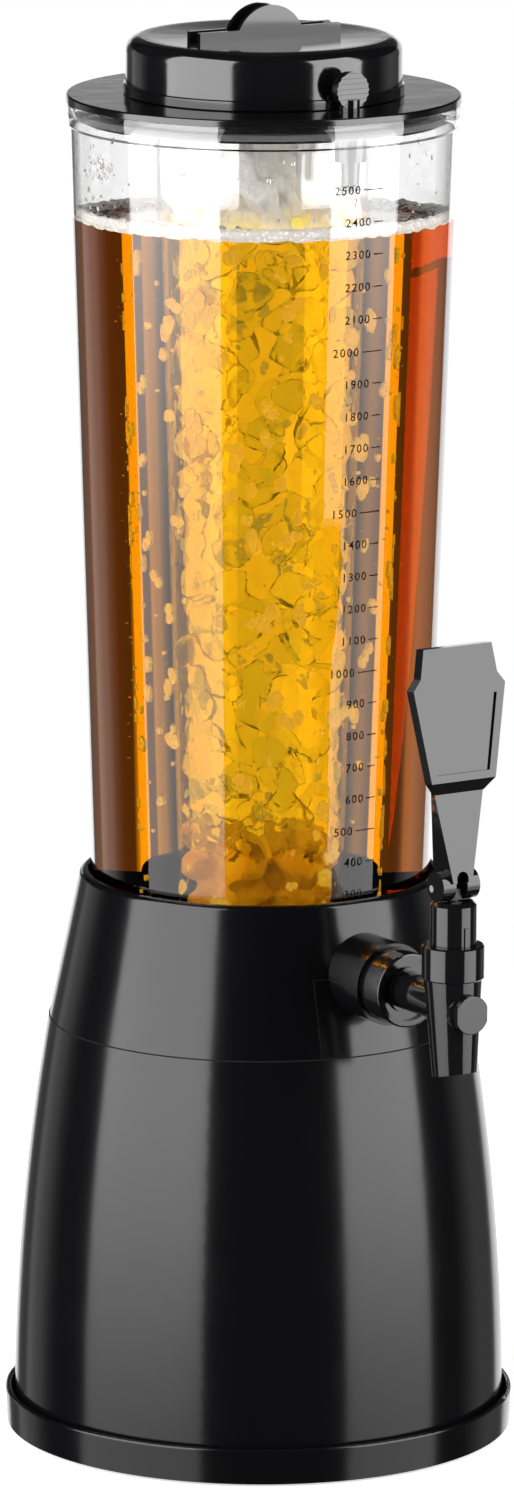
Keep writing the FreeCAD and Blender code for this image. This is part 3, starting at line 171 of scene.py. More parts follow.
def new_material(name, **values):
    """A material with one Principled shader; returns it, its nodes, its links and the shader."""
    material = bpy.data.materials.new(name)
    material.use_nodes = True
    tree = material.node_tree
    shader = tree.nodes["Principled BSDF"]
    set_sockets(shader, **values)
    return material, tree.nodes, tree.links, shader


def on_piece(tree, kind, **values):
    """A texture that sticks to its piece."""
    texture = tree.nodes.new(kind)
    set_sockets(texture, **values)
    where = tree.nodes.new("ShaderNodeTexCoord")
    tree.links.new(where.outputs["Object"], texture.inputs["Vector"])
    return texture


def bumped(tree, height, **values):
    """A Bump node that is fed by a height."""
    node = tree.nodes.new("ShaderNodeBump")
    set_sockets(node, **values)
    tree.links.new(height, node.inputs["Height"])
    return node


def two_tone(tree, mask, first, first_color, last, last_color):
    """One colour up to a mask's first value, another from its last value, and a blend between."""
    ramp = tree.nodes.new("ShaderNodeValToRGB")
    low, high = ramp.color_ramp.elements
    low.position, low.color = first, (*first_color, 1)
    high.position, high.color = last, (*last_color, 1)
    tree.links.new(mask, ramp.inputs["Fac"])
    return ramp.outputs["Color"]


print("node helpers ready")

# %% [markdown]
# ## Moulded plastic
#
# A moulded shell is never quite even: its skin is faintly wavy, which bends reflections, and handling
# leaves smears that change the gloss. A picture could be painted for each piece, but noise in a shader
# group does it for all of them, and each finish sets its own amounts.

# %% Moulded surface group: waviness for the normal, marks for the gloss
moulded, moulded_in, moulded_out = new_group(
    "moulded_surface",
    [("Wave Size", "NodeSocketFloat", 60.0), ("Wave Height", "NodeSocketFloat", 0.02),
     ("Gloss", "NodeSocketFloat", 0.12), ("Marks", "NodeSocketFloat", 0.08)],
    [("Roughness", "NodeSocketFloat"), ("Normal", "NodeSocketVector")],
)
waves = on_piece(moulded, "ShaderNodeTexNoise", Detail=2.0)
moulded.links.new(moulded_in.outputs["Wave Size"], waves.inputs["Scale"])
swell = bumped(moulded, waves.outputs["Fac"], Distance=0.001)
moulded.links.new(moulded_in.outputs["Wave Height"], swell.inputs["Strength"])
moulded.links.new(swell.outputs["Normal"], moulded_out.inputs["Normal"])
smears = on_piece(moulded, "ShaderNodeTexNoise", Scale=45.0, Detail=6.0)
marks = moulded.nodes.new("ShaderNodeMath")
marks.operation = "MULTIPLY_ADD"
moulded.links.new(smears.outputs["Fac"], marks.inputs[0])
moulded.links.new(moulded_in.outputs["Marks"], marks.inputs[1])
moulded.links.new(moulded_in.outputs["Gloss"], marks.inputs[2])
moulded.links.new(marks.outputs["Value"], moulded_out.inputs["Roughness"])
print("group", moulded.name)


# %% Black plastics, rubber and steel
def moulded_material(name, color, gloss, marks_share, wave_height, metallic=0.0, mirror=0.5):
    """An opaque moulded or turned finish. The mirror share is the shader's own specular level."""
    material, material_nodes, links, shader = new_material(
        name, Base_Color=(*color, 1), Metallic=metallic, Specular_IOR_Level=mirror)
    surface = put_group(material_nodes, moulded, Gloss=gloss, Marks=marks_share, Wave_Height=wave_height)
    links.new(surface.outputs["Roughness"], shader.inputs["Roughness"])
    links.new(surface.outputs["Normal"], shader.inputs["Normal"])
    return material, surface


moulded_material("gloss_black", (0.004, 0.004, 0.0045), 0.08, 0.06, 0.05, mirror=0.8)
base_black, base_surface = moulded_material(
    "base_black", (0.003, 0.003, 0.0035), 0.12, 0.06, 0.04, mirror=0.42)
moulded_material("satin_black", (0.01, 0.01, 0.011), 0.3, 0.1, 0.08)
moulded_material("tap_black", (0.005, 0.005, 0.0055), 0.06, 0.05, 0.03, mirror=0.65)
moulded_material("rubber", (0.03, 0.03, 0.03), 0.6, 0.2, 0.2)
moulded_material("steel", (0.6, 0.6, 0.6), 0.25, 0.2, 0.1, metallic=1.0)
print("opaque finishes ready, the base's is", base_black.name)

# %% [markdown]
# ## Seams of the base
#
# The collar sits on the base, and the panel under the tap stub is let into the collar. On the real tower
# each joint shows as a hair-thin dull line. The CAD faces are flush there, so the line is drawn by a mask:
# it compares the surface point with the edges of the CAD boxes, and takes the gloss away along them.

# %% Seam mask
SEAM_HALF = 0.0002
PANEL_IS_BEFORE_Y = -0.02
cover_low, cover_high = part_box("slot_cover")
collar_low, collar_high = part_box("collar")
seams, _, seams_out = new_group("seam_lines", [], [("Seam", "NodeSocketFloat")])
where = seams.nodes.new("ShaderNodeTexCoord")
axes = seams.nodes.new("ShaderNodeSeparateXYZ")
seams.links.new(where.outputs["Object"], axes.inputs["Vector"])


def seam_math(operation, *values):
    """One Math node of the seam group. A value is a number or another node's output."""
    node = seams.nodes.new("ShaderNodeMath")
    node.operation = operation
    for number, value in enumerate(values):
        if isinstance(value, (int, float)):
            node.inputs[number].default_value = value
        else:
            seams.links.new(value, node.inputs[number])
    return node.outputs["Value"]


side, height_up = seam_math("ABSOLUTE", axes.outputs["X"]), axes.outputs["Z"]
in_front = seam_math("LESS_THAN", axes.outputs["Y"], PANEL_IS_BEFORE_Y)
on_foot = seam_math("COMPARE", height_up, collar_low.z, SEAM_HALF)
on_edge = seam_math("COMPARE", side, cover_high.x, SEAM_HALF)
above = seam_math("GREATER_THAN", height_up, cover_low.z)
below = seam_math("LESS_THAN", height_up, cover_high.z)
in_height = seam_math("MULTIPLY", above, below)
upright = seam_math("MULTIPLY", seam_math("MULTIPLY", on_edge, in_front), in_height)
on_top = seam_math("COMPARE", height_up, cover_high.z, SEAM_HALF)
in_width = seam_math("LESS_THAN", side, cover_high.x + SEAM_HALF)
level = seam_math("MULTIPLY", seam_math("MULTIPLY", on_top, in_front), in_width)
any_seam = seam_math("MAXIMUM", on_foot, seam_math("MAXIMUM", upright, level))
seams.links.new(any_seam, seams_out.inputs["Seam"])
print("panel from", round(cover_low.z, 4), "to", round(cover_high.z, 4), "half width", round(cover_high.x, 4))

# %% Dull the base's gloss along its seams
base_nodes, base_links = base_black.node_tree.nodes, base_black.node_tree.links
seam_here = put_group(base_nodes, seams)
dulled = base_nodes.new("ShaderNodeMath")
dulled.operation = "MAXIMUM"
base_links.new(base_surface.outputs["Roughness"], dulled.inputs[0])
base_links.new(seam_here.outputs["Seam"], dulled.inputs[1])
base_links.new(dulled.outputs["Value"], base_nodes["Principled BSDF"].inputs["Roughness"])
print("seam width in mm:", 2000 * SEAM_HALF)

# %% [markdown]
# ## A finish for each CAD node
#
# A lookup from a finish to its nodes is easier to read than a line for each node, and a node that is
# forgotten is quickly found in it. The clear vessel and the ice tube are left out, as they are made anew.

# %% Finish of each node
FINISH_OF_NODE = {
    "gloss_black": ["cap", "vent_plug", "tank_cup", "lid_flange", "lid_neck"],
    "base_black": ["base_tray", "base_body", "collar", "slot_cover"],
    "tap_black": ["tap_body", "bonnet", "handle", "flow_knob", "front_nut", "tap_shank"],
    "satin_black": ["spacer_sleeve", "back_nut", "plunger"],
    "rubber": ["foot_ring", "vessel_seal", "shank_gasket", "valve_seal", "piston_ring", "knob_seal",
               "lid_seal", "ice_tube_seal", "cap_seal", "vent_plug_seal"],
    "steel": ["tray_screws", "tank_screws", "collar_screws", "tap_spring", "handle_pin"],
}
for finish_name, members in FINISH_OF_NODE.items():
    for member in members:
        nodes[member].data.materials.clear()
        nodes[member].data.materials.append(bpy.data.materials[finish_name])
print("nodes dressed:", sum(len(members) for members in FINISH_OF_NODE.values()))

# %% [markdown]
# ## Modelling helpers
#
# An operator works on all that is selected, so each helper first clears the selection. Most of the new
# pieces are round, as a drink in a round vessel is, and are drawn as half a section and spun about Z. The
# doubles that the spin leaves on the axis and at its start are merged before the normals are set.

# %% Select, spin, join and copy
MERGE_WITHIN = 0.000005


def deselect():
    """Nothing selected, as every operator acts on all that is."""
    bpy.ops.object.select_all(action="DESELECT")


def pick(piece):
    """Select one piece alone and make it active."""
    deselect()
    piece.select_set(True)
    bpy.context.view_layer.objects.active = piece


def turned_piece(name, profile, steps=128):
    """A closed piece spun about the Z axis from (radius, height) points."""
    deselect()
    bpy.ops.mesh.primitive_plane_add(size=0.001)
    piece = bpy.context.object
    piece.name = name
    bpy.ops.object.mode_set(mode="EDIT")
    bpy.ops.mesh.merge(type="CENTER")
    bpy.ops.transform.translate(value=(profile[0][0], 0, profile[0][1]))
    for (r0, z0), (r1, z1) in zip(profile, profile[1:]):
        bpy.ops.mesh.extrude_region_move(TRANSFORM_OT_translate={"value": (r1 - r0, 0, z1 - z0)})
    bpy.ops.mesh.select_all(action="SELECT")
    bpy.ops.mesh.spin(steps=steps, angle=math.tau, center=(0, 0, 0), axis=(0, 0, 1))
    bpy.ops.mesh.select_all(action="SELECT")
    bpy.ops.mesh.remove_doubles(threshold=MERGE_WITHIN)
    bpy.ops.mesh.normals_make_consistent(inside=False)
    bpy.ops.object.mode_set(mode="OBJECT")
    return piece


def joined(pieces, name):
    """Several pieces made one, with its own name."""
    deselect()
    for piece in pieces:
        piece.select_set(True)
    bpy.context.view_layer.objects.active = pieces[0]
    bpy.ops.object.join()
    bpy.ops.object.transform_apply(location=True, rotation=True, scale=True)
    pieces[0].name = name
    return pieces[0]


def copied(model):
    """Another of a modelled piece, with its own mesh."""
    copy = model.copy()
    copy.data = model.data.copy()
    bpy.context.scene.collection.objects.link(copy)
    return copy


def dress(piece, body, slot, *materials):
    """Give a new piece its body and its finishes; the slot argument is not used."""
    piece.data.materials.clear()
    for material in materials:
        piece.data.materials.append(material)
    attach(piece, body)


print("modelling helpers ready")

# %% [markdown]
# ## Clear plastic
#
# Vessel wall, drink and tube wall touch each other, so light bends once where it enters the vessel and
# once where it leaves the inside of the tube, and hardly at all between them. Each wall therefore has
# two finishes: a clear one that bends light, and a wetted one with no jump in refraction where the
# drink touches it. A coat on the clear one lets it mirror the soft lights as strongly as polished plastic
# does, without bending the view any more.

# %% Clear and wetted finishes
CLEAR_IOR = 1.38


def let_light_in(tree, shader):
    """Shadow rays pass straight through, so that lights reach what stands behind clear plastic."""
    ray = tree.nodes.new("ShaderNodeLightPath")
    keep_out = tree.nodes.new("ShaderNodeMath")
    keep_out.operation = "SUBTRACT"
    keep_out.inputs[0].default_value = 1.0
    tree.links.new(ray.outputs["Is Shadow Ray"], keep_out.inputs[1])
    tree.links.new(keep_out.outputs["Value"], shader.inputs["Alpha"])


def clear_material(name, ior, roughness=0.0):
    """A colourless clear finish; returns it and its shader."""
    material, _, _, shader = new_material(
        name, Base_Color=(1, 1, 1, 1), Roughness=roughness, IOR=ior, Transmission_Weight=1.0)
    let_light_in(material.node_tree, shader)
    return material, shader


clear_wall, clear_wall_shader = clear_material("clear_wall", CLEAR_IOR)
set_sockets(clear_wall_shader, Coat_Weight=0.5, Coat_IOR=1.95, Coat_Roughness=0.0)
wetted_wall, *_ = new_material("wetted_wall", Transmission_Weight=1.0, IOR=1.0, Alpha=0.0)
print("clear finishes ready")

# %% [markdown]
# ## The vessel and the ice tube
#
# Both walls are in the CAD model, but its triangles are cut unevenly round the lip, and clear plastic
# shows every sliver as a dark spike. So they are turned again from the same profiles, with rounded edges,
# and take the place of their nodes. A ring of points at the drink's top parts the wetted faces from the
# dry ones.

# %% Walls that are partly wet
EDGE_ROUND = 0.0003
EDGE_STEPS = 2
EDGE_ROUNDED_FROM = math.radians(40)
SHADED_SMOOTH_TO = math.radians(30)
NEAR_OUTSIDE, NEAR_UNDERSIDE, LOOKS_DOWN = 0.0005, 0.001, -0.2


def turned_wall(node_name, piece_name, body, profile, is_wet):
    """A clear piece turned from its profile, whose wetted faces take the wetted finish."""
    piece = turned_piece(piece_name, profile)
    rounded = piece.modifiers.new("rounded_edges", "BEVEL")
    rounded.width = EDGE_ROUND
    rounded.segments = EDGE_STEPS
    rounded.angle_limit = EDGE_ROUNDED_FROM
    bpy.ops.object.modifier_apply(modifier="rounded_edges")
    bpy.ops.object.shade_smooth_by_angle(angle=SHADED_SMOOTH_TO)
    dress(piece, body, "clear_plastic", clear_wall, wetted_wall)
    for face in piece.data.polygons:
        face.material_index = 1 if is_wet(face.center, face.normal) else 0
    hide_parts(node_name)
    wet = sum(face.material_index for face in piece.data.polygons)
    print(piece_name, "faces:", len(piece.data.polygons), "wetted:", wet)


def vessel_is_wet(centre, normal):
    """Faces that look at the axis, up to the drink's top."""
    towards_axis = centre.x * normal.x + centre.y * normal.y < 0
    return towards_axis and centre.z < BEER_TOP_Z


def tube_is_wet(centre, normal):
    """The tube's outside and its underside, up to the drink's top."""
    outside = math.hypot(centre.x, centre.y) > tube_radius(centre.z) - NEAR_OUTSIDE
    underside = normal.z < LOOKS_DOWN and centre.z < TUBE_FOOT_Z + NEAR_UNDERSIDE
    return (outside or underside) and centre.z < BEER_TOP_Z


print("wall helpers ready")

# %% Turn the vessel and the ice tube
VESSEL_LIP_HEIGHT = 0.0078
TUBE_FLOOR = 0.002
TUBE_GASKET = 0.0008
lip_foot_z = vessel_high.z - VESSEL_LIP_HEIGHT
turned_wall("vessel", "clear_vessel", "tower", [
    (VESSEL_FOOT_R - VESSEL_WALL, VESSEL_FOOT_Z),
    (VESSEL_FOOT_R, VESSEL_FOOT_Z),
    (VESSEL_LIP_R, VESSEL_LIP_Z),
    (vessel_high.x, lip_foot_z),
    (vessel_high.x, vessel_high.z),
    (VESSEL_LIP_R - VESSEL_WALL, vessel_high.z),
    (VESSEL_LIP_R - VESSEL_WALL, lip_foot_z),
    (vessel_bore(BEER_TOP_Z), BEER_TOP_Z),
    (VESSEL_FOOT_R - VESSEL_WALL, VESSEL_FOOT_Z),
], vessel_is_wet)
turned_wall("ice_tube", "clear_ice_tube", "lid", [
    (0, TUBE_FOOT_Z),
    (TUBE_FOOT_R, TUBE_FOOT_Z),
    (tube_radius(BEER_TOP_Z), BEER_TOP_Z),
    (TUBE_TOP_R, TUBE_TOP_Z),
    (TUBE_TOP_R, TUBE_TOP_Z + TUBE_GASKET),
    (tube_high.x, TUBE_TOP_Z + TUBE_GASKET),
    (tube_high.x, tube_high.z),
    (TUBE_TOP_R - TUBE_WALL, tube_high.z),
    (TUBE_TOP_R - TUBE_WALL, TUBE_TOP_Z),
    (TUBE_FOOT_R - TUBE_WALL, TUBE_FOOT_Z + TUBE_FLOOR),
    (0, TUBE_FOOT_Z + TUBE_FLOOR),
], tube_is_wet)

# %% [markdown]
# ## The drink
#
# A drink takes the shape of what holds it, so its profile follows the reservoir, the vessel's inside and
# the ice tube's outside with a hair's breadth to spare. It is drawn once as a half section and spun.
# Its colour is not painted: the volume swallows blue first and green next, so a short way through it
# looks yellow and a long way looks red-brown, as in the glass.

# %% Drink profile and mesh
HAIR = 0.00005
CUP_BORE_R = 0.0594
CUP_FLOOR_Z = 0.1527
CUP_STEP_LOW_Z, CUP_STEP_HIGH_Z = 0.1855, 0.1870
vessel_foot_bore = VESSEL_FOOT_R - VESSEL_WALL
drink_edge = vessel_bore(BEER_TOP_Z) - HAIR
drink = turned_piece("drink", [
    (0, CUP_FLOOR_Z + HAIR),
    (CUP_BORE_R - HAIR, CUP_FLOOR_Z + HAIR),
    (CUP_BORE_R - HAIR, CUP_STEP_LOW_Z),
    (vessel_foot_bore - HAIR, CUP_STEP_HIGH_Z),
    (vessel_foot_bore - HAIR, VESSEL_FOOT_Z),
    (drink_edge, BEER_TOP_Z),
    (tube_radius(BEER_TOP_Z) + HAIR, BEER_TOP_Z),
    (tube_radius(TUBE_FOOT_Z) + HAIR, TUBE_FOOT_Z - HAIR),
    (0, TUBE_FOOT_Z - HAIR),
])
print("drink faces:", len(drink.data.polygons))

# %% Drink finish
DRINK_COLOR = (0.988, 0.83, 0.0, 1)
DRINK_DENSITY = 95.0
DRINK_SMOOTH_TO = math.radians(25)


def drink_material(name, ior, alpha):
    """The drink inside one kind of face; all of them hold the same absorbing volume."""
    material, material_nodes, links, shader = new_material(
        name, Base_Color=(1, 1, 1, 1), Roughness=0.0, IOR=ior, Transmission_Weight=1.0, Alpha=alpha)
    volume = material_nodes.new("ShaderNodeVolumeAbsorption")
    set_sockets(volume, Color=DRINK_COLOR, Density=DRINK_DENSITY)
    output = next(node for node in material_nodes if node.type == "OUTPUT_MATERIAL")
    links.new(volume.outputs["Volume"], output.inputs["Volume"])
    if alpha > 0:
        let_light_in(material.node_tree, shader)
    return material


drink_body = drink_material("drink_body", 1.0, 0.0)
drink_top = drink_material("drink_top", 1.35, 1.0)
dress(drink, "tower", "clear_plastic", drink_body, drink_top)
pick(drink)
bpy.ops.object.shade_smooth_by_angle(angle=DRINK_SMOOTH_TO)
for face in drink.data.polygons:
    face.material_index = 1 if face.normal.z > 0.9 and face.center.z > BEER_TOP_Z - 0.01 else 0
print("drink top faces:", sum(face.material_index for face in drink.data.polygons))

# %% [markdown]
# ## Foam
#
# The head has almost gone: what is left is a wet white rope along the glass. It is a spun ring whose
# points are pushed about by noise, set with small bubbles, each a low sphere sunk into the ring. One
# bubble is modelled with few faces and copied, as there are hundreds of them.

# %% Foam ring
ROPE_SECTION = [(0.0002, -0.0010), (0.0001, 0.0010), (0.0, 0.0026), (0.0008, 0.0032), (0.0020, 0.0026),
                (0.0030, 0.0016), (0.0036, 0.0004), (0.0024, -0.0006), (0.0002, -0.0010)]
ROPE_STEPS = 240
RIPPLE, FINE_RIPPLE = 0.0009, 0.0004
RIPPLE_SCALE, FINE_RIPPLE_SCALE = 260, 700
RIPPLE_UP, RIPPLE_IN = 0.9, 1.6
ROPE_HELD_WITHIN = 0.002
rope_profile = [(drink_edge - inward, BEER_TOP_Z + up) for inward, up in ROPE_SECTION]
foam = turned_piece("foam_ring", rope_profile, ROPE_STEPS)
for point in foam.data.vertices:
    ripple = noise.noise(point.co * RIPPLE_SCALE) * RIPPLE
    ripple += noise.noise(point.co * FINE_RIPPLE_SCALE) * FINE_RIPPLE
    outward = Vector((point.co.x, point.co.y, 0)).normalized()
    from_wall = drink_edge - math.hypot(point.co.x, point.co.y)
    point.co.z += ripple * RIPPLE_UP
    point.co -= outward * min(1.0, from_wall / ROPE_HELD_WITHIN) * abs(ripple) * RIPPLE_IN
print("foam faces:", len(foam.data.polygons))

# %% One bubble, copied
BUBBLE_FLATNESS = 0.92
deselect()
bpy.ops.mesh.primitive_uv_sphere_add(segments=8, ring_count=6, radius=1.0)
one_bubble = bpy.context.object
bpy.ops.object.mode_set(mode="EDIT")
bpy.ops.mesh.select_all(action="SELECT")
bpy.ops.transform.resize(value=(1, 1, BUBBLE_FLATNESS))
bpy.ops.object.mode_set(mode="OBJECT")
bpy.ops.object.shade_smooth()


def bubble_at(radius, out, angle, height):
    """A bubble of a radius, so far out from the axis, in a direction and at a height."""
    bubble = copied(one_bubble)
    bubble.scale = (radius, radius, radius)
    bubble.location = (out * math.cos(angle), out * math.sin(angle), height)
    return bubble


print("faces of one bubble:", len(one_bubble.data.polygons))

# %% Foam bubbles
FOAM_BUBBLES = 300
chance = random.Random(7)
bubbles = []
for _ in range(FOAM_BUBBLES):
    angle = chance.uniform(0, math.tau)
    size = chance.choice([0.0005, 0.0006, 0.0008, 0.0011, 0.0016])
    out = drink_edge - size - chance.uniform(0.0002, 0.0056)
    bubbles.append(bubble_at(size, out, angle, BEER_TOP_Z + chance.uniform(0.0002, 0.0030)))
foam_bubbles = joined(bubbles, "foam_bubbles")
print("foam bubbles:", len(bubbles))

# %% Foam finish
foam_white, _, foam_links, foam_shader = new_material(
    "foam_white", Roughness=0.35, IOR=1.2, Transmission_Weight=0.25)
foam_tree = foam_white.node_tree
cells = on_piece(foam_tree, "ShaderNodeTexVoronoi", Scale=700)
froth = two_tone(foam_tree, cells.outputs["Distance"], 0.05, (0.84, 0.82, 0.78), 0.45, (0.52, 0.49, 0.45))
foam_links.new(froth, foam_shader.inputs["Base Color"])
dimples = bumped(foam_tree, cells.outputs["Distance"], Strength=0.6, Distance=0.0006)
foam_links.new(dimples.outputs["Normal"], foam_shader.inputs["Normal"])
bubble_clear, _ = clear_material("bubble_clear", 1.3)
dress(foam, "tower", "clear_plastic", foam_white)
dress(foam_bubbles, "tower", "clear_plastic", bubble_clear)
print("foam finished")

# %% [markdown]
# ## A broken film of foam
#
# Between the rope and the ice tube a thin film floats, torn into rags. Modelling each rag would be slow
# and hard to change, so the film is one spun disc with a hole, and a mask of swirled noise makes parts of
# it see-through. The mask thins towards the glass, where the film has drawn back.

# %% Film mesh
FILM_Z = BEER_TOP_Z + 0.0001
FILM_EDGE, FILM_MIDDLE = 0.0003, 0.0005
FILM_TO_GLASS = 0.0042
film_inner = tube_radius(BEER_TOP_Z) + 0.0003
foam_film = turned_piece("foam_film", [
    (film_inner, FILM_Z),
    (drink_edge - FILM_TO_GLASS, FILM_Z),
    (drink_edge - FILM_TO_GLASS, FILM_Z + FILM_EDGE),
    (film_inner, FILM_Z + FILM_MIDDLE),
    (film_inner, FILM_Z),
])
print("film faces:", len(foam_film.data.polygons))

# %% Film finish
film_white, film_nodes, film_links, film_shader = new_material(
    "film_white", Base_Color=(0.66, 0.63, 0.58, 1), Roughness=0.35)
swirl = on_piece(film_white.node_tree, "ShaderNodeTexNoise", Scale=190, Detail=5, Distortion=1.5)
where = film_nodes.new("ShaderNodeTexCoord")
from_axis = film_nodes.new("ShaderNodeVectorMath")
from_axis.operation = "MULTIPLY"
from_axis.inputs[1].default_value = (1, 1, 0)
film_links.new(where.outputs["Object"], from_axis.inputs[0])
reach = film_nodes.new("ShaderNodeVectorMath")
reach.operation = "LENGTH"
film_links.new(from_axis.outputs["Vector"], reach.inputs[0])
thinning = film_nodes.new("ShaderNodeMapRange")
set_sockets(thinning, From_Min=0.040, From_Max=0.062, To_Min=0.12, To_Max=-0.16)
film_links.new(reach.outputs["Value"], thinning.inputs["Value"])
torn = film_nodes.new("ShaderNodeMath")
torn.operation = "ADD"
film_links.new(swirl.outputs["Fac"], torn.inputs[0])
film_links.new(thinning.outputs["Result"], torn.inputs[1])
cover = film_nodes.new("ShaderNodeMapRange")
set_sockets(cover, From_Min=0.46, From_Max=0.60, To_Max=0.85)
film_links.new(torn.outputs["Value"], cover.inputs["Value"])
film_links.new(cover.outputs["Result"], film_shader.inputs["Alpha"])
dress(foam_film, "tower", "clear_plastic", film_white)
print("film finished")

# %% [markdown]
# ## Crushed ice
#
# Crushed ice breaks into chunks with flat faces and rounded corners. Five chunks are modelled: a coarse
# sphere is jittered and then cut flat on several sides. They are then laid in the tube in layers, most of
# them against its wall, where they are seen. A voxel remesh freezes them together, and a light smoothing
# melts the corners.

# %% Five chunks of ice
CHUNK_MODELS = 5
CHUNK_CUTS = 6
CHUNK_JITTER = 0.06
CUT_DEPTHS = (0.24, 0.4)


def chunk_of_ice(name, seed):
    """A chunk about 1 unit across with flat broken faces."""
    pieces_chance = random.Random(seed)
    deselect()
    bpy.ops.mesh.primitive_ico_sphere_add(subdivisions=2, radius=0.5)
    chunk = bpy.context.object
    chunk.name = name
    bpy.ops.object.mode_set(mode="EDIT")
    bpy.ops.transform.vertex_random(offset=CHUNK_JITTER, uniform=0.4, seed=seed)
    for _ in range(CHUNK_CUTS):
        cut = Vector([pieces_chance.uniform(-1, 1) for _ in range(3)]).normalized()
        bpy.ops.mesh.select_all(action="SELECT")
        bpy.ops.mesh.bisect(plane_co=cut * pieces_chance.uniform(*CUT_DEPTHS), plane_no=cut,
                            use_fill=True, clear_outer=True)
    bpy.ops.mesh.select_all(action="SELECT")
    bpy.ops.mesh.normals_make_consistent(inside=False)
    bpy.ops.object.mode_set(mode="OBJECT")
    return chunk


chunks = [chunk_of_ice(f"ice_chunk_{number}", 40 + number) for number in range(CHUNK_MODELS)]
print("faces in a chunk:", [len(chunk.data.polygons) for chunk in chunks])

# %% Fill the tube
ICE_TOP_Z = TUBE_TOP_Z - 0.009
ICE_FOOT_Z = TUBE_FOOT_Z + 0.0095
ICE_LAYER = 0.0115
RING_CHUNKS = 8
CHUNK_SIZES = (0.0155, 0.0225)
CORE_SIZE, CORE_OUT = 0.034, 0.004
chance = random.Random(11)
laid = []
layer_z = ICE_FOOT_Z
while layer_z < ICE_TOP_Z:
    first = chance.uniform(0, math.tau)
    for number in range(RING_CHUNKS + 1):
        angle = first + number * math.tau / RING_CHUNKS + chance.uniform(-0.18, 0.18)
        size = chance.uniform(*CHUNK_SIZES)
        out = tube_bore(layer_z) - size * chance.uniform(0.36, 0.56) - 0.0005
        if number == RING_CHUNKS:
            size, out = CORE_SIZE, CORE_OUT
        chunk = copied(chunks[chance.randrange(CHUNK_MODELS)])
        chunk.scale = (size, size * chance.uniform(0.75, 1.0), size * chance.uniform(0.7, 1.0))
        chunk.rotation_euler = [chance.uniform(0, math.tau) for _ in range(3)]
        height = layer_z + chance.uniform(-0.003, 0.003)
        chunk.location = (out * math.cos(angle), out * math.sin(angle), height)
        laid.append(chunk)
    layer_z += ICE_LAYER
ice = joined(laid, "crushed_ice")
for chunk in chunks:
    bpy.data.objects.remove(chunk)
print("chunks laid:", len(laid))

# %% Keep the ice inside the tube, freeze it together and melt its corners
ICE_GAP = 0.0003
ICE_VOXEL = 0.0016
MELTED_BY, MELTED_TIMES = 0.5, 2
ICE_SMOOTH_TO = math.radians(32)
for point in ice.data.vertices:
    bore = tube_bore(point.co.z) - ICE_GAP
    out = math.hypot(point.co.x, point.co.y)
    if out > bore:
        point.co.x *= bore / out
        point.co.y *= bore / out
    point.co.z = max(point.co.z, TUBE_FOOT_Z + TUBE_FLOOR + ICE_GAP)
pick(ice)
grown = ice.modifiers.new("frozen_together", "REMESH")
grown.mode = "VOXEL"
grown.voxel_size = ICE_VOXEL
bpy.ops.object.modifier_apply(modifier="frozen_together")
melted = ice.modifiers.new("melted", "SMOOTH")
melted.factor = MELTED_BY
melted.iterations = MELTED_TIMES
bpy.ops.object.modifier_apply(modifier="melted")
bpy.ops.object.shade_smooth_by_angle(angle=ICE_SMOOTH_TO)
print("ice faces:", len(ice.data.polygons))

# %% [markdown]
# ## Three ice finishes
#
# Under the drink's top the ice stands in melt water, which bends light almost as much as ice does, so it
# is nearly invisible and only its mottling shows. Above it the ice is dry and frosted and looks grey. At
# the tube's foot, where no light comes from behind, the ice is painted amber and less clear: a painted glow
# for the lights in front. All three are the same small tree with other values, and each face takes one by its
# height.

# %% Ice finishes
ICE_IOR = 1.035


def ice_material(name, dull, bright, roughness, transmission):
    """Ice with an uneven melted surface, mottled between two colours."""
    material, _, links, shader = new_material(
        name, Roughness=roughness, IOR=ICE_IOR, Transmission_Weight=transmission)
    tree = material.node_tree
    melt = on_piece(tree, "ShaderNodeTexNoise", Scale=420)
    uneven = bumped(tree, melt.outputs["Fac"], Strength=0.35, Distance=0.0008)
    links.new(uneven.outputs["Normal"], shader.inputs["Normal"])
    cloud = on_piece(tree, "ShaderNodeTexNoise", Scale=170, Detail=6, Roughness=0.65)
    links.new(two_tone(tree, cloud.outputs["Fac"], 0.38, dull, 0.58, bright), shader.inputs["Base Color"])
    let_light_in(tree, shader)
    return material


ice_soaked = ice_material("ice_soaked", (0.90, 0.99, 0.93), (0.96, 1.0, 0.97), 0.15, 0.93)
ice_frosted = ice_material("ice_frosted", (0.56, 0.55, 0.53), (0.76, 0.75, 0.73), 0.3, 0.5)
# Painted glow: an amber, less clear copy of the ice for the tube's foot, standing in for the front lights
# shining on it.
ice_packed = ice_material("ice_packed", (1.0, 0.80, 0.55), (1.0, 0.92, 0.75), 0.3, 0.2)
print("ice finishes ready")

# %% Pick the finish of each face by its height
SOAKED, FROSTED, PAINTED_GLOW = 0, 1, 2
FROSTED_FROM_Z = BEER_TOP_Z - 0.001
GLOW_ABOVE_COLLAR = 0.016
GLOW_EDGE_UNEVEN = 0.005


def ice_finish(across, deep, height):
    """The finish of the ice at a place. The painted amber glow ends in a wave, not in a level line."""
    wave = GLOW_EDGE_UNEVEN * math.sin(across * 700 + deep * 500)
    if height > FROSTED_FROM_Z:
        return FROSTED
    return PAINTED_GLOW if height < collar_high.z + GLOW_ABOVE_COLLAR + wave else SOAKED


dress(ice, "lid", "clear_plastic", ice_soaked, ice_frosted, ice_packed)
for face in ice.data.polygons:
    face.material_index = ice_finish(*face.center)
for number, finish in enumerate(ice.data.materials):
    print(finish.name, "faces:", sum(face.material_index == number for face in ice.data.polygons))

# %% [markdown]
# ## Wet patches, drops and bubbles
#
# Where the tube's inside is dry it mirrors the dark room at a slant, and where melt water wets it the
# light goes through. So the wet patches show as pale islands in the dark strips. Each island is a flat
# disc with a ragged rim, given a thickness and then wrapped on the wall. Bubbles cling to the outside.

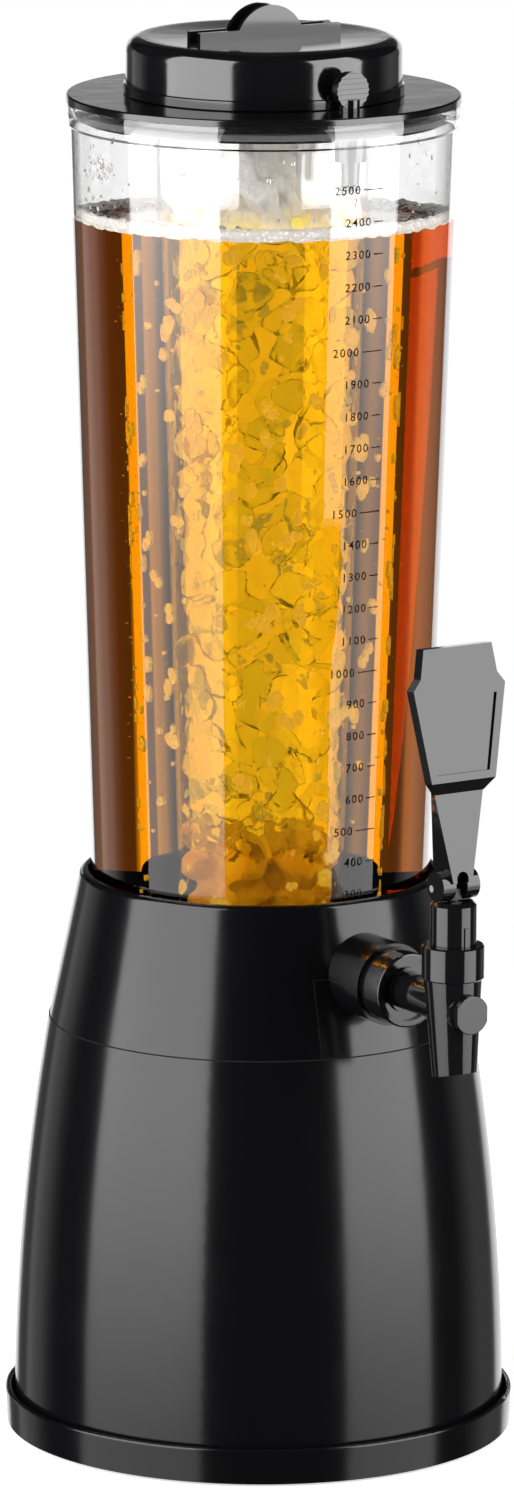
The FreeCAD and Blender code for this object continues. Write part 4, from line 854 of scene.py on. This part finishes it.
# %% Six ragged islands
ISLAND_MODELS = 6
ISLAND_POINTS = 14
ISLAND_RAGGED, ISLAND_ROUNDED = 0.26, 0.4
ISLAND_RIM = 0.1
ISLAND_DOME, ISLAND_SKIN = 0.0004, 0.0002


def island(seed):
    """A flat island 1 unit across with a ragged rim, a few dozen faces, lying in the XY plane."""
    deselect()
    bpy.ops.mesh.primitive_circle_add(vertices=ISLAND_POINTS, radius=0.5, fill_type="NGON")
    flat = bpy.context.object
    bpy.ops.object.mode_set(mode="EDIT")
    bpy.ops.mesh.select_all(action="SELECT")
    bpy.ops.transform.vertex_random(offset=ISLAND_RAGGED, uniform=0.0, seed=seed)
    bpy.ops.mesh.vertices_smooth(factor=ISLAND_ROUNDED, repeat=1)
    bpy.ops.transform.resize(value=(1, 1, 0), center_override=(0, 0, 0))
    bpy.ops.mesh.inset(thickness=ISLAND_RIM, use_even_offset=False)
    bpy.ops.transform.translate(value=(0, 0, ISLAND_DOME))
    bpy.ops.object.mode_set(mode="OBJECT")
    pick(flat)
    shell = flat.modifiers.new("shell", "SOLIDIFY")
    shell.thickness = ISLAND_SKIN
    shell.offset = -1
    bpy.ops.object.modifier_apply(modifier="shell")
    return flat


islands = [island(100 + number) for number in range(ISLAND_MODELS)]


def laid_island(chance, bearing, height, width, tall, radius_at, sunk):
    """A copy of one island on the inside of a tapering wall. Its dome points at the axis."""
    piece = copied(chance.choice(islands))
    turn = Matrix.Rotation(chance.uniform(0, math.tau), 4, "Z")
    piece.data.transform(Matrix.Diagonal((width, tall, 1, 1)) @ turn)
    for point in piece.data.vertices:
        z = height + point.co.y
        radius = radius_at(z) + sunk - point.co.z
        angle = bearing + point.co.x / radius_at(z)
        point.co = (radius * math.sin(angle), -radius * math.cos(angle), z)
    return piece


print("one island has", len(islands[0].data.polygons), "faces")

# %% Wet patches on the tube's inside
WET_PATCHES = 420
SPREAD_FROM_WIDTH = 0.002
PATCH_SUNK = 0.0003
chance = random.Random(23)
patches = []
for _ in range(WET_PATCHES):
    width = chance.choice([0.0009, 0.0013, 0.002, 0.0034, 0.0044])
    tall = width * chance.uniform(0.9, 2.0)
    bearing = chance.uniform(0, math.tau)
    height = chance.uniform(TUBE_FOOT_Z + 0.012, BEER_TOP_Z - 0.008)
    for _ in range(1 if width < SPREAD_FROM_WIDTH else chance.randint(1, 3)):
        patches.append(laid_island(chance, bearing, height, width, tall, tube_bore, PATCH_SUNK))
        bearing += width * chance.uniform(-0.7, 0.7) / tube_bore(height)
        height += tall * chance.uniform(-0.7, 0.7)
wet_patches = joined(patches, "wet_patches")
# The patches' finish glows faintly: a painted glow that stands in for the light coming through them from the
# ice behind.
wet_pale, *_ = new_material(
    "wet_pale", Base_Color=(0.85, 0.85, 0.8, 1), Roughness=0.3, IOR=1.1, Transmission_Weight=0.35,
    Emission_Color=(1.0, 0.95, 0.85, 1), Emission_Strength=0.14)
dress(wet_patches, "lid", "clear_plastic", wet_pale)
print("wet patches:", len(patches))

# %% Bubbles on the tube and drops on the vessel
TUBE_BUBBLES = 260
VESSEL_DROPS = 60
DROP_WIDTHS = [0.0006, 0.0009, 0.0013]
DROP_SUNK = 0.0001
DROPS_UP_TO_Z = 0.466
chance = random.Random(31)
clinging = []
for _ in range(TUBE_BUBBLES):
    size = chance.choice([0.0002, 0.0003, 0.0004])
    z = chance.uniform(TUBE_FOOT_Z + 0.01, BEER_TOP_Z - 0.004)
    clinging.append(bubble_at(size, tube_radius(z) + size + 0.0001, chance.uniform(0, math.tau), z))
tube_bubbles = joined(clinging, "tube_bubbles")
dress(tube_bubbles, "lid", "clear_plastic", bubble_clear)
drops = []
for _ in range(VESSEL_DROPS):
    width = chance.choice(DROP_WIDTHS)
    height = chance.uniform(BEER_TOP_Z + 0.008, DROPS_UP_TO_Z)
    bearing = chance.uniform(0, math.tau)
    tall = width * chance.uniform(1.0, 2.4)
    drops.append(laid_island(chance, bearing, height, width, tall, vessel_bore, DROP_SUNK))
vessel_drops = joined(drops, "vessel_drops")
drop_clear, _ = clear_material("drop_clear", 1.33, 0.02)
dress(vessel_drops, "tower", "clear_plastic", drop_clear)
print("bubbles:", len(clinging), "drops:", len(drops))

# %% [markdown]
# ## Foam flecks
#
# When the tower was filled, the foam splashed: a cluster of white flecks hangs on the left of the vessel's
# wall, and a thin line of them marks where the head stood. Half of the islands are scattered round the
# splash, the others just above the drink all the way round, and all take the foam's own finish.

# %% Foam flecks splashed on the vessel
FOAM_FLECKS = 70
SPLASH_BEARING, SPLASH_SPREAD = math.radians(-90.5), 0.05
SPLASH_Z, SPLASH_RISE = 0.4575, 0.0022
HEAD_STOOD_ABOVE, HEAD_SPREAD = 0.004, 0.003
FLECKS_UP_TO_Z = 0.464
chance = random.Random(47)
flecks = []
for number in range(FOAM_FLECKS):
    width = chance.choice(DROP_WIDTHS)
    tall = width * chance.uniform(0.8, 1.8)
    if number % 2 == 0:
        bearing = SPLASH_BEARING + chance.gauss(0, SPLASH_SPREAD)
        height = SPLASH_Z + chance.gauss(0, SPLASH_RISE)
    else:
        bearing = chance.uniform(0, math.tau)
        height = BEER_TOP_Z + HEAD_STOOD_ABOVE + abs(chance.gauss(0, HEAD_SPREAD))
    height = min(height, FLECKS_UP_TO_Z)
    flecks.append(laid_island(chance, bearing, height, width, tall, vessel_bore, DROP_SUNK))
foam_flecks = joined(flecks, "foam_flecks")
dress(foam_flecks, "tower", "clear_plastic", foam_white)
for model in [one_bubble, *islands]:
    bpy.data.objects.remove(model)
print("flecks:", len(flecks))

# %% [markdown]
# ## The printed volume scale
#
# The scale is ink on the vessel's outside: a tick every 100 ml with its number to the left, and a longer
# tick every 500 ml. Each number is made as flat text, turned into a mesh, and wrapped round the vessel.
# The row of ticks leans a little, so its bearing is worked out from its two ends.

# %% Wrap a flat shape round the vessel
INK = 0.00003
OFF_THE_WALL = 0.00002
NUMBER_SPACING = 1.25
NUMBER_BOLDER = 0.00002


def wrap(piece, bearing, height):
    """Lay a flat mesh in the XY plane on the vessel. X becomes the way round and Y the way up."""
    for point in piece.data.vertices:
        z = height + point.co.y
        radius = vessel_radius(z) + OFF_THE_WALL + max(0.0, point.co.z)
        angle = bearing + point.co.x / vessel_radius(z)
        point.co = (radius * math.sin(angle), -radius * math.cos(angle), z)
    return piece


def flat_bar(length, thickness):
    """A thin bar from x = -length to 0, in several steps so that it bends with the glass."""
    deselect()
    middle = (-length / 2, 0, INK / 2)
    bpy.ops.mesh.primitive_cube_add(size=1, location=middle, scale=(length, thickness, INK))
    bar = bpy.context.object
    bpy.ops.object.transform_apply(location=True, rotation=True, scale=True)
    bpy.ops.object.mode_set(mode="EDIT")
    bpy.ops.mesh.select_all(action="SELECT")
    bpy.ops.mesh.subdivide(number_cuts=3)
    bpy.ops.object.mode_set(mode="OBJECT")
    return bar


def flat_number(words, size, right_end):
    """A number as a thin mesh whose right end is at x = right_end and whose middle is at y = 0."""
    deselect()
    bpy.ops.object.text_add()
    text = bpy.context.object
    text.data.body = words
    text.data.size = size
    text.data.extrude = INK / 2
    text.data.align_x = "RIGHT"
    text.data.align_y = "CENTER"
    text.data.resolution_u = 3
    text.data.space_character = NUMBER_SPACING
    text.data.offset = NUMBER_BOLDER
    bpy.ops.object.convert(target="MESH")
    text = bpy.context.object
    for point in text.data.vertices:
        point.co.x += right_end
        point.co.z += INK / 2
    return text


print("ink thickness in mm:", 1000 * INK)

# %% Lay the scale
SCALE_LOW, SCALE_HIGH = 300, 2500
SCALE_EVERY, SCALE_MAIN_EVERY = 100, 500
SCALE_ZERO_Z = 0.1702
SCALE_STEP = 0.01138
SCALE_LOW_BEARING, SCALE_HIGH_BEARING = 8.5, 5.05
MAIN_TICK, SMALL_TICK = 0.0081, 0.0038
TICK_THICKNESS = 0.00034
NUMBER_SIZE, NUMBER_GAP = 0.0042, 0.0014
marks_laid = []
for volume in range(SCALE_LOW, SCALE_HIGH + 1, SCALE_EVERY):
    z = SCALE_ZERO_Z + SCALE_STEP * volume / SCALE_EVERY
    share = (volume - SCALE_LOW) / (SCALE_HIGH - SCALE_LOW)
    bearing = math.radians(SCALE_LOW_BEARING + (SCALE_HIGH_BEARING - SCALE_LOW_BEARING) * share)
    tick = MAIN_TICK if volume % SCALE_MAIN_EVERY == 0 else SMALL_TICK
    marks_laid.append(wrap(flat_bar(tick, TICK_THICKNESS), bearing, z))
    marks_laid.append(wrap(flat_number(str(volume), NUMBER_SIZE, -tick - NUMBER_GAP), bearing, z))
volume_scale = joined(marks_laid, "volume_scale")
ink_grey, *_ = new_material(
    "ink_grey", Base_Color=(0.005, 0.005, 0.005, 1), Roughness=0.8, Specular_IOR_Level=0.05)
dress(volume_scale, "tower", "black_matte", ink_grey)
print("marks on the scale:", len(marks_laid))

# %% [markdown]
# ## Studio
#
# A pale table top, two tall soft lights in front on the left and right, and a white wall behind that is
# narrower than the room. The clear vessel bends the view: its middle looks at the white wall and its
# edges look past it, so the dark parts of the room draw the vessel's outline. The table is seen by the
# camera alone, so that its rim draws no arc in the gloss.

# %% Table top
TABLE_RADIUS = 0.72
TABLE_Z = -0.0002
deselect()
bpy.ops.mesh.primitive_circle_add(
    vertices=128, radius=TABLE_RADIUS, fill_type="NGON", location=(0, 0, TABLE_Z))
table_top = bpy.context.object
table_top.name = "table_top"
bpy.ops.object.transform_apply(location=True)
paper, paper_nodes, paper_links, paper_shader = new_material(
    "paper", Base_Color=(0.9, 0.9, 0.9, 1), Roughness=0.9, Emission_Color=(1, 1, 1, 1), Emission_Strength=0.6)
looked_at = paper_nodes.new("ShaderNodeLightPath")
paper_links.new(looked_at.outputs["Is Camera Ray"], paper_shader.inputs["Alpha"])
table_top.data.materials.append(paper)
print("table top radius:", TABLE_RADIUS)

# %% [markdown]
# ## Two soft lights
#
# A soft box in front of a gloss shell shows as a bright upright strip, and its width and bearing set the
# strip's. On the real base the strips grow dimmer towards the foot. A gradient in the light does that: its
# strength falls off below, which is simpler than a flag hung in front of it.

# %% Soft lights
TOWARDS_CAMERA = Vector((math.sin(CAMERA_AZIMUTH), -math.cos(CAMERA_AZIMUTH), 0))
CAMERA_RIGHT = Vector((math.cos(CAMERA_AZIMUTH), math.sin(CAMERA_AZIMUTH), 0))
LIGHT_LOW, LIGHT_HIGH = -0.9, 1.9
LIGHT_RADIANCE = 5.2
FADED_AT_Z, FULL_AT_Z, FADED_TO = -0.42, 0.22, 0.3


def soft_light(name, bearing, distance, width):
    """A tall area light that faces the part. Bearing counts from the camera's side, to the right."""
    data = bpy.data.lights.new(name, "AREA")
    data.shape = "RECTANGLE"
    data.size = width
    data.size_y = LIGHT_HIGH - LIGHT_LOW
    data.energy = LIGHT_RADIANCE * math.pi * width * (LIGHT_HIGH - LIGHT_LOW)
    data.use_nodes = True
    light_nodes, light_links = data.node_tree.nodes, data.node_tree.links
    where = light_nodes.new("ShaderNodeNewGeometry")
    height_of = light_nodes.new("ShaderNodeSeparateXYZ")
    light_links.new(where.outputs["Position"], height_of.inputs["Vector"])
    fade = light_nodes.new("ShaderNodeMapRange")
    fade.interpolation_type = "SMOOTHSTEP"
    set_sockets(fade, From_Min=FADED_AT_Z, From_Max=FULL_AT_Z, To_Min=FADED_TO)
    light_links.new(height_of.outputs["Z"], fade.inputs["Value"])
    light_links.new(fade.outputs["Result"], light_nodes["Emission"].inputs["Strength"])
    light = bpy.data.objects.new(name, data)
    bpy.context.scene.collection.objects.link(light)
    turn = math.radians(bearing)
    way = TOWARDS_CAMERA * math.cos(turn) + CAMERA_RIGHT * math.sin(turn)
    light.location = way * distance + Vector((0, 0, (LIGHT_LOW + LIGHT_HIGH) / 2))
    light.rotation_euler = way.to_track_quat("Z", "Y").to_euler()
    light.visible_camera = False


soft_light("left_light", bearing=-56.5, distance=1.3, width=1.53)
soft_light("right_light", bearing=64.2, distance=1.5, width=1.286)

# %% [markdown]
# ## The room
#
# The room is what the clear and the gloss surfaces see: a white wall behind, dark gaps beside it, and grey
# flats further round. Real boards could stand there, but a ramp over the world's bearing is quicker to
# tune, and each stop is a bearing in degrees from straight behind and a brightness. The wall has a top, too,
# and the camera itself sees plain white.

# %% Room: white behind, darker elsewhere
ROOM_STOPS = [(-180, 0.01), (-68, 0.02), (-60, 0.15), (-54, 0.36), (-48, 0.38), (-42, 0.5), (-38, 0.5),
              (-36, 0.12), (-20, 0.12), (-18, 1.3), (27, 1.3), (29, 0.10), (35, 0.13), (42, 0.20),
              (47, 0.25), (53, 0.28), (60, 0.18), (70, 0.02)]
WALL_FULL_BELOW, WALL_ENDS_AT, OVER_THE_WALL = 0.10, 0.16, 0.04
world = bpy.data.worlds.new("studio")
bpy.context.scene.world = world
world.use_nodes = True
room = world.node_tree
room.nodes.clear()
way = room.nodes.new("ShaderNodeTexCoord")


def along(direction):
    """How far a world direction points along another."""
    dot = room.nodes.new("ShaderNodeVectorMath")
    dot.operation = "DOT_PRODUCT"
    dot.inputs[1].default_value = direction
    room.links.new(way.outputs["Generated"], dot.inputs[0])
    return dot.outputs["Value"]


bearing_seen = room.nodes.new("ShaderNodeMath")
bearing_seen.operation = "ARCTAN2"
room.links.new(along(CAMERA_RIGHT), bearing_seen.inputs[0])
room.links.new(along(-TOWARDS_CAMERA), bearing_seen.inputs[1])
span = room.nodes.new("ShaderNodeMapRange")
set_sockets(span, From_Min=-math.pi, From_Max=math.pi)
room.links.new(bearing_seen.outputs["Value"], span.inputs["Value"])
wall = room.nodes.new("ShaderNodeValToRGB")
stops = wall.color_ramp.elements
for number, (degrees, light_there) in enumerate(ROOM_STOPS):
    share = (degrees + 180) / 360
    stop = stops[number] if number < 2 else stops.new(share)
    stop.position = share
    stop.color = (light_there, light_there, light_there, 1)
room.links.new(span.outputs["Result"], wall.inputs["Fac"])
print("room stops:", len(ROOM_STOPS))

# %% Top of the wall, and white for the camera
wall_top = room.nodes.new("ShaderNodeMapRange")
set_sockets(wall_top, From_Min=WALL_ENDS_AT, From_Max=WALL_FULL_BELOW, To_Min=OVER_THE_WALL, To_Max=1.0)
room.links.new(along((0, 0, 1)), wall_top.inputs["Value"])
behind = room.nodes.new("ShaderNodeBackground")
room.links.new(wall.outputs["Color"], behind.inputs["Color"])
room.links.new(wall_top.outputs["Result"], behind.inputs["Strength"])
plain = room.nodes.new("ShaderNodeBackground")
set_sockets(plain, Color=(1, 1, 1, 1))
seen = room.nodes.new("ShaderNodeLightPath")
choice = room.nodes.new("ShaderNodeMixShader")
room.links.new(seen.outputs["Is Camera Ray"], choice.inputs["Fac"])
room.links.new(behind.outputs["Background"], choice.inputs[1])
room.links.new(plain.outputs["Background"], choice.inputs[2])
whole = room.nodes.new("ShaderNodeOutputWorld")
room.links.new(choice.outputs["Shader"], whole.inputs["Surface"])
bpy.context.scene.view_settings.view_transform = "Standard"
print("world nodes:", len(room.nodes))
